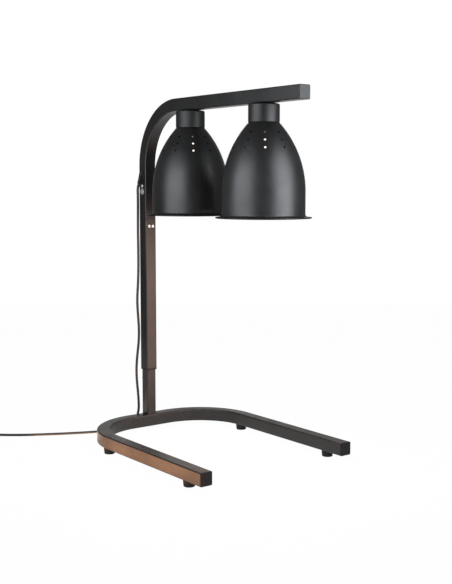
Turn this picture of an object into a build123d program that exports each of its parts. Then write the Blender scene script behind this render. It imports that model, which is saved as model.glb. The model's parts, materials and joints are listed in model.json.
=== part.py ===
from build123d import *
import os
from math import ceil, cos, dist, pi, radians, sin, sqrt, tan

os.makedirs("parts", exist_ok=True)

# Free-standing food heat lamp: U base, telescopic post, bent arm, two bell shades.
# Millimetres, +Z up, front is -Y; the origin is on the table under the middle of the object.

# Overall sizes
arm_top = 730.2
arm_reach = 519.7
leg_reach = 457.0
base_width = 371.4
bend_radius = 125.0

# Square tubes
tube = 26.4
tube_wall = 1.2
tube_corner = 2.5
lower_tube = 22.3
lower_wall = 1.2
lower_corner = 2.0
stub_wall = 1.5
stub_length = 100.0
stub_corner = 1.0
stub_bore_corner = 0.5
joiner_wall = 2.0
joiner_length = 80.0

# Fits, each a gap per side
slip_gap = 0.3
press_gap = 0.05
running_gap = 0.05
screw_gap = 0.1

# Heights on the post, with those of the upper half taken from the arm
arm_drop = 255.2
lower_post_drop = 55.0
bush_bottom_z = 140.0
knob_z = 118.0
clamp_z = 172.0
joiner_screw_drop = 13.6

# Plastic plugs in tube ends
cap_plate = 3.0
cap_depth = 12.0
cap_wall = 1.5
cap_bore_corner = 0.6
cap_edge = 1.0

# Guides between lower and outer post
bush_collar = 4.0
bush_chamfer = 1.0
bush_sleeve = 20.0
guide_plate = 3.0
guide_bore_corner = 0.4

# Feet and their screws
foot_height = 12.4
foot_top_radius = 12.0
foot_bottom_radius = 10.8
foot_edge = 1.2
foot_inset = 54.4
foot_rear = 116.4
foot_recess_depth = 5.5
foot_recess_radius = 5.2
foot_screw_radius = 2.0
foot_screw_head_radius = 4.0
foot_screw_head = 2.6
foot_screw_grip = 8.0

# Thumbscrew through lower post and stub, and its weld nut
thumb_radius = 2.5
knob_radius = 6.0
knob_height = 8.4
knob_flutes = 10
flute_radius = 0.9
knob_edge = 0.4
weld_nut_width = 9.0
weld_nut_height = 4.0

# Height clamp on the outer post
boss_radius = 4.5
boss_height = 3.5
clamp_head_radius = 5.0
clamp_head_height = 5.0
clamp_tip_gap = 0.1

# Pan-head screws
pan_screw_radius = 1.9
pan_head_radius = 3.9
pan_head_height = 2.8
pan_head_brim = 0.8
joiner_screw_spacing = 8.9
earth_screw_length = 8.0
earth_nut_width = 7.0
earth_nut_height = 3.2
nut_turn = 30.0
earth_rise = 74.4

# Push switch on the left face of the arm
switch_rise = 62.0
switch_barrel_radius = 5.9
switch_barrel_depth = 13.5
switch_bezel_radius = 7.0
switch_bezel = 1.6
switch_bezel_edge = 0.8
button_radius = 4.8
button_proud = 2.2
button_edge = 0.7
button_length = 7.0
button_travel = 2.0
button_end_gap = 0.8
switch_nut_radius = 7.4
switch_nut = 3.0
terminal_width = 4.8
terminal_thickness = 0.8
terminal_length = 7.0
terminal_spacing = 6.0

# Strain relief
relief_rise = 93.5
relief_flange_width = 17.0
relief_flange_height = 20.0
relief_flange = 2.5
relief_flange_corner = 6.0
relief_stem_radius = 4.9
relief_stem_inside = 6.0
relief_root_radius = 6.2
relief_end_radius = 4.2
relief_length = 27.0
relief_tilt = 20.0
relief_end_x = -22.5
relief_end_drop = 15.5

# Lamps on the arm
lamp_front = 404.5
lamp_rear = 165.3
spacer_radius = 10.0
spacer_height = 1.0
neck_radius = 29.8
neck_height = 34.0
neck_wall = 1.2
neck_edge = 3.0
nipple_radius = 5.0
nipple_bore = 3.2
nipple_above_nut = 1.8
nipple_in_holder = 6.0
lock_nut_width = 14.0
lock_nut = 4.0

# Bell shade
shade_wall = 1.2
shade_radius = 79.1
shade_height = 179.8
crown_land = 2.4
shade_arc_rise = 49.5
flare_radius = 5.0
flare_angle = 78.0
rim_radius = 91.8
bead_radius = 1.2
vent_columns = 10
vent_radius = 2.1
vent_first_drop = 19.7
vent_pitch = 14.4
vent_rows = 3
vent_turn = {"front": 233.2, "rear": 240.6}

# Lampholder and shade ring
holder_radius = 23.5
holder_skirt_radius = 20.0
holder_skirt = 25.0
holder_roof = 8.3
holder_edge = 1.5
holder_cap_bore = 13.7
holder_neck_bore = 17.8
ring_radius = 26.0
ring_height = 6.0

# Infrared reflector bulb
bulb_radius = 62.5
bulb_glass_wall = 1.2
bulb_neck_radius = 13.2
bulb_throat_radius = 16.6
bulb_throat_drop = 2.0
bulb_face_rise = 26.0
bulb_dome = 9.0
bulb_shoulder = 16.0
bulb_belly_rise = 34.0
bulb_cap_radius = 13.3
bulb_cap_wall = 0.8
bulb_cap_height = 25.0
bulb_cap_cone = 4.0
bulb_contact_radius = 4.5
bulb_contact_height = 2.0
bulb_contact_gap = 0.3

# Wiring in the arm
wire_radius = 2.5
wire_offset = 5.0
wire_drop_radius = 2.8
wire_start_rise = 11.0
wire_lead_radius = 2.0
switch_lead_radius = 1.2
switch_lead_height = 20.0
wire_end_gap = 0.5

# Mains cord: diameter and route to the coil, with y from the post's axis; the first run leaves the
# strain relief along its sleeve, and the heights are for a sleeve that ends at the route's top
cord_diameter = 5.5
cord_lie = cord_diameter / 2
cord_first_run = 8.5
route_top = 553.0
hanging_route = [
    (-25.9, 0.4, 529.0),
    (-24.9, 0.9, 498.0),
    (-24.2, 1.4, 455.0),
    (-23.3, 1.9, 411.0),
    (-23.2, 2.4, 371.0),
    (-24.3, 3.0, 336.0),
    (-25.9, 3.6, 307.0),
    (-25.6, 4.1, 284.0),
    (-23.2, 4.7, 258.0),
    (-21.4, 5.4, 230.0),
    (-21.6, 6.2, 203.0),
    (-24.6, 7.5, 174.0),
    (-26.2, 9.4, 146.0),
    (-23.6, 12.6, 117.0),
    (-18.2, 16.8, 90.0),
    (-13.6, 21.5, 65.0),
    (-11.8, 25.2, 42.0),
    (-18.0, 29.5, 20.0),
    (-35.0, 34.0, 7.0),
    (-58.0, 38.5, cord_lie),
    (-83.0, 42.5, cord_lie),
]
floor_route = [
    (-108.0, 49.0, cord_lie),
    (-143.0, 63.0, cord_lie),
    (-183.0, 82.0, cord_lie),
    (-224.0, 104.0, cord_lie),
    (-265.0, 129.5, cord_lie),
]
cord_bend = 0.45

# Coil of spare cord, its tie and the plug
coil_turn_gap = 0.6
coil_outer_radius = 38.5
coil_half_turns_in = 5
coil_half_turns_out = 4
coil_heading = 145.0
coil_entry = (-330.0, 174.5)
coil_lead = 36.0
coil_end_run = 28.0
coil_samples = 24
tie_thickness = 1.0
tie_width = 9.0
tie_gap = 0.3
tie_corner = 2.0
plug_grip_length = 20.0
plug_grip_wall = 0.8
plug_grip_root = 5.5
plug_length = 36.0
plug_width = 25.0
plug_corner = 4.0
plug_taper = 0.75
blade_width = 6.4
blade_thickness = 1.5
blade_length = 17.0
blade_spacing = 12.7
earth_pin_radius = 2.4
earth_pin_length = 21.0
earth_pin_offset = 11.9

# Places that follow from the sizes above
tube_bore = tube - 2 * tube_wall
tube_bore_corner = tube_corner - tube_wall
lower_bore = lower_tube - 2 * lower_wall
lower_bore_corner = lower_corner - lower_wall
stub = lower_bore - 2 * slip_gap
joiner = tube_bore - 2 * press_gap
rear_reach = tube / 2 + boss_height + screw_gap + clamp_head_height
post_y = (arm_reach - rear_reach) / 2
left_face = -tube / 2
leg_x = base_width / 2 - tube / 2
leg_end = post_y - leg_reach + cap_plate
foot_front_y = post_y - leg_reach + foot_inset
base_z = foot_height + tube / 2
base_top = foot_height + tube
arm_z = arm_top - tube / 2
arm_joint_z = arm_top - arm_drop
lower_post_top = arm_joint_z - lower_post_drop
switch_z = arm_joint_z + switch_rise
earth_z = arm_joint_z + earth_rise
relief_z = arm_joint_z + relief_rise
relief_end_z = relief_z - relief_end_drop
arm_end = post_y - arm_reach + cap_plate
arm_under = arm_top - tube
joiner_screw_z = arm_joint_z - joiner_screw_drop
neck_top = arm_under - spacer_height
crown_z = neck_top - neck_height
rim_z = crown_z - shade_height
shade_arc_z = rim_z + shade_arc_rise
holder_top = neck_top - neck_wall
holder_roof_z = holder_top - holder_roof
skirt_foot = crown_z - holder_skirt
cap_top = holder_roof_z - bulb_contact_gap - bulb_contact_height
cap_foot = cap_top - bulb_cap_height
throat_z = skirt_foot - bulb_throat_drop
face_z = rim_z + bulb_face_rise
belly_z = face_z + bulb_belly_rise
dome_edge = bulb_radius - bulb_shoulder
dome_radius = (dome_edge**2 + bulb_dome**2) / (2 * bulb_dome)
coil_turn = cord_diameter + coil_turn_gap
coil_z = cord_lie + tie_thickness + tie_gap
plug_z = coil_z + coil_turn
lamps = {"front": post_y - lamp_front, "rear": post_y - lamp_rear}
feet = {
    "front_left": (-leg_x, foot_front_y),
    "front_right": (leg_x, foot_front_y),
    "rear_left": (-leg_x, post_y - foot_rear),
    "rear_right": (leg_x, post_y - foot_rear),
}


def save(builder, name):
    """Label a finished piece and write it to its own file."""
    builder.part.label = name
    export_step(builder.part, f"parts/{name}.step")


def square_ring(outer, inner, outer_corner, inner_corner):
    """Section of a square tube, drawn in the sketch that is open."""
    RectangleRounded(outer, outer, outer_corner)
    RectangleRounded(inner, inner, inner_corner, mode=Mode.SUBTRACT)


def facing(x, y, z, direction, across=(0, 0, 1)):
    """Plane at a point, looking along a direction."""
    return Plane(origin=(x, y, z), x_dir=across, z_dir=direction)


def upright(y):
    """Plane through a lamp's axis, with local x outwards and local y up."""
    return Plane(origin=(0, y, 0), x_dir=(1, 0, 0), z_dir=(0, -1, 0))


def vertical_axis(y):
    """Axis of the lamp at y."""
    return Axis((0, y, 0), (0, 0, 1))


# Base frame: one square tube bent into a U, drilled under the legs for the feet
with BuildPart() as base_frame:
    with BuildLine() as base_path:
        FilletPolyline(
            (-leg_x, leg_end, base_z),
            (-leg_x, post_y, base_z),
            (leg_x, post_y, base_z),
            (leg_x, leg_end, base_z),
            radius=bend_radius,
        )
    with BuildSketch(facing(-leg_x, leg_end, base_z, (0, 1, 0))):
        square_ring(tube, tube_bore, tube_corner, tube_bore_corner)
    sweep(path=base_path.wire())
    with Locations(*[(x, y, foot_height + tube_wall / 2) for x, y in feet.values()]):
        Cylinder(foot_screw_radius + screw_gap, 2 * tube_wall, mode=Mode.SUBTRACT)
save(base_frame, "base_frame")


def build_end_cap(mouth):
    """Plug in a tube's open end; the plane looks out of the tube."""
    with BuildPart() as cap:
        with BuildSketch(mouth):
            RectangleRounded(tube, tube, tube_corner)
        extrude(amount=cap_plate)
        outer_face = cap.faces().sort_by(Axis(mouth.origin, mouth.z_dir))[-1]
        chamfer(outer_face.edges(), cap_edge)
        with BuildSketch(mouth):
            insert = tube_bore - 2 * press_gap
            square_ring(insert, insert - 2 * cap_wall, tube_bore_corner, cap_bore_corner)
        extrude(amount=-cap_depth)
    return cap


# Plugs in the legs and in the front of the arm
for side, x in (("left", -leg_x), ("right", leg_x)):
    save(build_end_cap(facing(x, leg_end, base_z, (0, -1, 0))), f"base_end_cap_{side}")
save(build_end_cap(facing(0, arm_end, arm_z, (0, -1, 0))), "arm_end_cap")

# Feet: tapered rubber bumpers with a recess for the screw head
for name, (x, y) in feet.items():
    with BuildPart() as foot:
        with BuildSketch(Plane.XY.offset(0)):
            with Locations((x, y)):
                Circle(foot_bottom_radius)
        with BuildSketch(Plane.XY.offset(foot_height)):
            with Locations((x, y)):
                Circle(foot_top_radius)
        loft()
        fillet(foot.edges().group_by(Axis.Z)[0], foot_edge)
        with Locations((x, y, foot_recess_depth / 2)):
            Cylinder(foot_recess_radius, foot_recess_depth, mode=Mode.SUBTRACT)
        with Locations((x, y, foot_height / 2)):
            Cylinder(foot_screw_radius + screw_gap, foot_height, mode=Mode.SUBTRACT)
    save(foot, f"foot_{name}")

with BuildPart() as foot_screws:
    head_z = foot_recess_depth - foot_screw_head
    with Locations(*[(x, y, head_z) for x, y in feet.values()]):
        Cylinder(foot_screw_head_radius, foot_screw_head, align=(Align.CENTER, Align.CENTER, Align.MIN))
    with Locations(*[(x, y, foot_recess_depth) for x, y in feet.values()]):
        shank = foot_height - foot_recess_depth + foot_screw_grip
        Cylinder(foot_screw_radius, shank, align=(Align.CENTER, Align.CENTER, Align.MIN))
save(foot_screws, "foot_screws")

# Stub on the cross tube, with the lower post over it
post_foot = facing(0, post_y, base_top, (0, 0, 1), (1, 0, 0))
rear_hole = facing(0, post_y, knob_z, (0, 1, 0))

with BuildPart() as post_stub:
    with BuildSketch(post_foot):
        square_ring(stub, stub - 2 * stub_wall, stub_corner, stub_bore_corner)
    extrude(amount=stub_length)
    with BuildSketch(rear_hole):
        Circle(thumb_radius + screw_gap)
    extrude(amount=tube, mode=Mode.SUBTRACT)
save(post_stub, "post_stub")

with BuildPart() as lower_post:
    with BuildSketch(post_foot):
        square_ring(lower_tube, lower_bore, lower_corner, lower_bore_corner)
    extrude(amount=lower_post_top - base_top)
    with BuildSketch(rear_hole):
        Circle(thumb_radius + screw_gap)
    extrude(amount=tube, mode=Mode.SUBTRACT)
save(lower_post, "lower_post")

# Weld nut inside the stub's rear wall
nut_face = post_y + stub / 2 - stub_wall
with BuildPart() as stub_nut:
    with BuildSketch(facing(0, nut_face, knob_z, (0, -1, 0))):
        Rectangle(weld_nut_width, weld_nut_width)
        Circle(thumb_radius + running_gap, mode=Mode.SUBTRACT)
    extrude(amount=weld_nut_height)
save(stub_nut, "stub_nut")


def build_thumbscrew(seat, head_radius, head_height, shank):
    """Fluted head on a plain shank; the plane lies under the head and looks out of it."""
    with BuildPart() as screw:
        with BuildSketch(seat):
            Circle(head_radius)
            with PolarLocations(head_radius, knob_flutes):
                Circle(flute_radius, mode=Mode.SUBTRACT)
        extrude(amount=head_height)
        outer_face = screw.faces().sort_by(Axis(seat.origin, seat.z_dir))[-1]
        chamfer(outer_face.edges(), knob_edge)
        with BuildSketch(seat):
            Circle(thumb_radius)
        extrude(amount=-shank)
    return screw


knob_seat = post_y + lower_tube / 2 + screw_gap
knob_shank = knob_seat - nut_face + weld_nut_height
post_thumbscrew = build_thumbscrew(
    facing(0, knob_seat, knob_z, (0, 1, 0)), knob_radius, knob_height, knob_shank
)
save(post_thumbscrew, "post_thumbscrew")

# Guide in the top of the lower post, running in the outer post
with BuildPart() as upper_guide:
    top = facing(0, post_y, lower_post_top, (0, 0, 1), (1, 0, 0))
    with BuildSketch(top):
        guide = tube_bore - 2 * running_gap
        square_ring(guide, lower_bore - 2 * cap_wall, tube_bore_corner, guide_bore_corner)
    extrude(amount=guide_plate)
    with BuildSketch(top):
        insert = lower_bore - 2 * press_gap
        square_ring(insert, insert - 2 * cap_wall, lower_bore_corner, guide_bore_corner)
    extrude(amount=-cap_depth)
save(upper_guide, "upper_guide")

# Outer post, sliding on the lower post
outer_bottom = bush_bottom_z + bush_collar
clamp_hole = facing(0, post_y, clamp_z, (0, 1, 0))
screw_xs = [(x, 0) for x in (-joiner_screw_spacing / 2, joiner_screw_spacing / 2)]
screw_plane = facing(0, post_y, joiner_screw_z, (0, -1, 0), (1, 0, 0))

with BuildPart() as outer_post:
    with BuildSketch(facing(0, post_y, outer_bottom, (0, 0, 1), (1, 0, 0))):
        square_ring(tube, tube_bore, tube_corner, tube_bore_corner)
    extrude(amount=arm_joint_z - outer_bottom)
    with BuildSketch(clamp_hole):
        Circle(thumb_radius + screw_gap)
    extrude(amount=tube, mode=Mode.SUBTRACT)
    with BuildSketch(screw_plane):
        with Locations(*screw_xs):
            Circle(pan_screw_radius + screw_gap)
    extrude(amount=tube, mode=Mode.SUBTRACT)
save(outer_post, "outer_post")

# Plastic bush at the lower end of the outer post
with BuildPart() as guide_bush:
    opening = lower_tube + 2 * running_gap
    with BuildSketch(facing(0, post_y, bush_bottom_z, (0, 0, 1), (1, 0, 0))):
        RectangleRounded(tube, tube, tube_corner)
    extrude(amount=bush_collar)
    chamfer(guide_bush.faces().sort_by(Axis.Z)[0].edges(), bush_chamfer)
    with BuildSketch(facing(0, post_y, outer_bottom, (0, 0, 1), (1, 0, 0))):
        RectangleRounded(tube_bore - 2 * press_gap, tube_bore - 2 * press_gap, tube_bore_corner)
    extrude(amount=bush_sleeve)
    with BuildSketch(facing(0, post_y, bush_bottom_z, (0, 0, 1), (1, 0, 0))):
        RectangleRounded(opening, opening, lower_corner)
    extrude(amount=bush_collar + bush_sleeve, mode=Mode.SUBTRACT)
save(guide_bush, "guide_bush")

# Clamp boss on the rear face and the screw that bears on the lower post
boss_seat = post_y + tube / 2
with BuildPart() as clamp_boss:
    with BuildSketch(facing(0, boss_seat, clamp_z, (0, 1, 0))):
        Circle(boss_radius)
        Circle(thumb_radius + running_gap, mode=Mode.SUBTRACT)
    extrude(amount=boss_height)
save(clamp_boss, "clamp_boss")

clamp_seat = boss_seat + boss_height + screw_gap
clamp_shank = clamp_seat - (post_y + lower_tube / 2 + clamp_tip_gap)
clamp_screw = build_thumbscrew(
    facing(0, clamp_seat, clamp_z, (0, 1, 0)), clamp_head_radius, clamp_head_height, clamp_shank
)
save(clamp_screw, "clamp_screw")

# Joiner spigot shared by the outer post and the arm, with its two screws
with BuildPart() as arm_joiner:
    with BuildSketch(facing(0, post_y, arm_joint_z - joiner_length / 2, (0, 0, 1), (1, 0, 0))):
        square_ring(joiner, joiner - 2 * joiner_wall, tube_bore_corner, cap_bore_corner)
    extrude(amount=joiner_length)
    with BuildSketch(screw_plane):
        with Locations(*screw_xs):
            Circle(pan_screw_radius + press_gap)
    extrude(amount=tube, mode=Mode.SUBTRACT)
save(arm_joiner, "arm_joiner")


def build_pan_screws(seats, shank):
    """Pan-head screws; each plane has local x along the radius and local y out of the head."""
    dome = pan_head_height - pan_head_brim
    dome_curve = (pan_head_radius**2 + dome**2) / (2 * dome)
    with BuildPart() as screws:
        for seat in seats:
            with BuildSketch(seat):
                with BuildLine():
                    RadiusArc((0, pan_head_height), (pan_head_radius, pan_head_brim), dome_curve)
                    Polyline(
                        (pan_head_radius, pan_head_brim),
                        (pan_head_radius, 0),
                        (pan_screw_radius, 0),
                        (pan_screw_radius, -shank),
                        (0, -shank),
                        (0, pan_head_height),
                    )
                make_face()
            revolve(axis=Axis(seat.origin, seat.y_dir))
    return screws


front_face = post_y - tube / 2
joiner_seats = [
    Plane(origin=(x, front_face, joiner_screw_z), x_dir=(1, 0, 0), z_dir=(0, 0, -1)) for x, _ in screw_xs
]
joiner_screws = build_pan_screws(joiner_seats, tube_wall + press_gap + joiner_wall)
save(joiner_screws, "joiner_screws")

# Arm: one bent tube, drilled for the cord entry, earth screw, switch and lamps
with BuildPart() as arm_tube:
    with BuildLine() as arm_path:
        FilletPolyline(
            (0, post_y, arm_joint_z), (0, post_y, arm_z), (0, arm_end, arm_z), radius=bend_radius
        )
    with BuildSketch(facing(0, post_y, arm_joint_z, (0, 0, 1), (1, 0, 0))):
        square_ring(tube, tube_bore, tube_corner, tube_bore_corner)
    sweep(path=arm_path.wire())
    side_holes = {
        relief_z: relief_stem_radius + press_gap,
        earth_z: pan_screw_radius + screw_gap,
        switch_z: switch_barrel_radius + screw_gap,
    }
    for z, radius in side_holes.items():
        with BuildSketch(facing(0, post_y, z, (-1, 0, 0))):
            Circle(radius)
        extrude(amount=tube, mode=Mode.SUBTRACT)
    for y in lamps.values():
        with BuildSketch(facing(0, y, arm_z, (0, 0, -1), (1, 0, 0))):
            Circle(nipple_radius + screw_gap)
        extrude(amount=tube, mode=Mode.SUBTRACT)
save(arm_tube, "arm_tube")

# Strain relief: flange on the left face and a tapered sleeve that points down along the cord
relief_end = Vector(relief_end_x, post_y, relief_end_z)
relief_direction = Vector(-sin(radians(relief_tilt)), 0, -cos(radians(relief_tilt)))
relief_root = relief_end - relief_direction * relief_length

with BuildPart() as strain_relief:
    with BuildSketch(Plane(relief_root, x_dir=(0, 1, 0), z_dir=relief_direction)):
        Circle(relief_root_radius)
    with BuildSketch(Plane(relief_end, x_dir=(0, 1, 0), z_dir=relief_direction)):
        Circle(relief_end_radius)
    loft()
    split(bisect_by=Plane(origin=(left_face, 0, 0), z_dir=(-1, 0, 0)), keep=Keep.TOP)
    with BuildSketch(facing(left_face, post_y, relief_z, (-1, 0, 0))):
        RectangleRounded(relief_flange_height, relief_flange_width, relief_flange_corner)
    extrude(amount=relief_flange)
    with BuildSketch(facing(left_face, post_y, relief_z, (1, 0, 0))):
        Circle(relief_stem_radius)
    extrude(amount=tube_wall + relief_stem_inside)
save(strain_relief, "strain_relief")

# Earth screw and its nut
earth_seat = Plane(origin=(left_face, post_y, earth_z), x_dir=(0, 0, 1), z_dir=(0, -1, 0))
earth_screw = build_pan_screws([earth_seat], earth_screw_length)
save(earth_screw, "earth_screw")

wall_inside = left_face + tube_wall
with BuildPart() as earth_nut:
    with BuildSketch(facing(wall_inside, post_y, earth_z, (1, 0, 0))):
        RegularPolygon(earth_nut_width / 2, 6, major_radius=False, rotation=nut_turn)
        Circle(pan_screw_radius + press_gap, mode=Mode.SUBTRACT)
    extrude(amount=earth_nut_height)
save(earth_nut, "earth_nut")

# Push switch: barrel with bezel and terminals, nut inside the wall, travelling button
switch_out = facing(left_face, post_y, switch_z, (-1, 0, 0))
switch_in = facing(left_face, post_y, switch_z, (1, 0, 0))
button_foot = button_length - button_proud
pocket_depth = button_foot + button_travel + button_end_gap

with BuildPart() as switch_body:
    with BuildSketch(switch_out):
        Circle(switch_bezel_radius)
    extrude(amount=switch_bezel)
    fillet(switch_body.faces().sort_by(Axis.X)[0].edges(), switch_bezel_edge)
    with BuildSketch(switch_in):
        Circle(switch_barrel_radius)
    extrude(amount=switch_barrel_depth)
    with BuildSketch(switch_out.offset(switch_bezel)):
        Circle(button_radius + running_gap)
    extrude(amount=-pocket_depth, mode=Mode.SUBTRACT)
    with BuildSketch(switch_in.offset(switch_barrel_depth)):
        with GridLocations(terminal_spacing, 0, 2, 1):
            Rectangle(terminal_thickness, terminal_width)
    extrude(amount=terminal_length)
save(switch_body, "switch_body")

with BuildPart() as switch_nut_ring:
    with BuildSketch(switch_in.offset(tube_wall)):
        RegularPolygon(switch_nut_radius, 6, major_radius=False, rotation=nut_turn)
        Circle(switch_barrel_radius + press_gap, mode=Mode.SUBTRACT)
    extrude(amount=switch_nut)
save(switch_nut_ring, "switch_nut")

with BuildPart() as switch_button:
    with BuildSketch(switch_out.offset(switch_bezel + button_proud)):
        Circle(button_radius)
    extrude(amount=-button_length)
    fillet(switch_button.faces().sort_by(Axis.X)[0].edges(), button_edge)
save(switch_button, "switch_button")

# Wiring: one run along the arm, a drop into each nipple, leads from the strain relief and the switch
wire_z = arm_z + wire_offset
wire_y = post_y + wire_offset
holder_wire_z = holder_top - nipple_in_holder + wire_end_gap
stem_end = wall_inside + relief_stem_inside
barrel_end = left_face + switch_barrel_depth
terminal_top = switch_z + (terminal_spacing + terminal_thickness) / 2

with BuildPart() as arm_wiring:
    with BuildLine() as wire_path:
        FilletPolyline(
            (0, wire_y, switch_z + wire_start_rise),
            (0, wire_y, wire_z),
            (0, lamps["front"], wire_z),
            radius=bend_radius + wire_offset,
        )
    with BuildSketch(facing(0, wire_y, switch_z + wire_start_rise, (0, 0, 1), (1, 0, 0))):
        Circle(wire_radius)
    sweep(path=wire_path.wire())
    for y in lamps.values():
        with BuildSketch(facing(0, y, holder_wire_z, (0, 0, 1), (1, 0, 0))):
            Circle(wire_drop_radius)
        extrude(amount=wire_z - holder_wire_z)
    with BuildSketch(facing(stem_end, post_y + wire_offset / 2, relief_z, (1, 0, 0))):
        Circle(wire_lead_radius)
    extrude(amount=-stem_end)
    with BuildSketch(facing(0, post_y, terminal_top, (0, 0, 1), (1, 0, 0))):
        with Locations((barrel_end + switch_lead_radius + screw_gap, terminal_width / 2 + 2 * screw_gap)):
            Circle(switch_lead_radius)
    extrude(amount=switch_lead_height)
save(arm_wiring, "arm_wiring")

# Bell shade outline, from the crown's hole to the rim, in radius and height
crown_edge = ring_radius + crown_land
arc_width = shade_radius - crown_edge
shade_arc_radius = (arc_width**2 + (crown_z - shade_arc_z) ** 2) / (2 * arc_width)
arc_centre = shade_radius - shade_arc_radius
crown_hole = holder_skirt_radius + slip_gap
flare_turn = radians(flare_angle)
flange_start = shade_radius + flare_radius * (1 - cos(flare_turn))
flange_edge = rim_radius - bead_radius
flange_drop = (flange_edge - flange_start) / tan(flare_turn)
flange_edge_z = rim_z + bead_radius + shade_wall / 2 * sin(flare_turn)
flange_start_z = flange_edge_z + flange_drop
flare_top = flange_start_z + flare_radius * sin(flare_turn)
bead_centre = (flange_edge - shade_wall / 2 * cos(flare_turn), rim_z + bead_radius)


def draw_bell(depth):
    """Line of the shade at a depth under its outer face, from the crown's hole to the rim's edge."""
    top = crown_z - depth
    wall_radius = shade_radius - depth
    arc_radius = shade_arc_radius - depth
    crown = arc_centre + sqrt(arc_radius**2 - (top - shade_arc_z) ** 2)
    inward = depth * cos(flare_turn)
    down = depth * sin(flare_turn)
    flange = (flange_start - inward, flange_start_z - down)
    edge = (flange_edge - inward, flange_edge_z - down)
    Line((crown_hole, top), (crown, top))
    RadiusArc((crown, top), (wall_radius, shade_arc_z), arc_radius)
    Line((wall_radius, shade_arc_z), (wall_radius, flare_top))
    RadiusArc((wall_radius, flare_top), flange, -flare_radius - depth)
    Line(flange, edge)
    return edge


def vent_places(lamp_y, first_turn):
    """Places of the vent holes, each square to the shade's wall."""
    places = []
    for row in range(vent_rows):
        z = crown_z - vent_first_drop - row * vent_pitch
        lean = (z - shade_arc_z) / shade_arc_radius
        level = sqrt(1 - lean**2)
        radius = arc_centre + shade_arc_radius * level
        for column in range(vent_columns):
            turn = radians(first_turn) + 2 * pi * column / vent_columns
            out = Vector(cos(turn), sin(turn), 0)
            centre = Vector(0, lamp_y, z) + out * radius
            places.append(Plane(centre, z_dir=out * level + Vector(0, 0, lean)))
    return places


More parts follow.
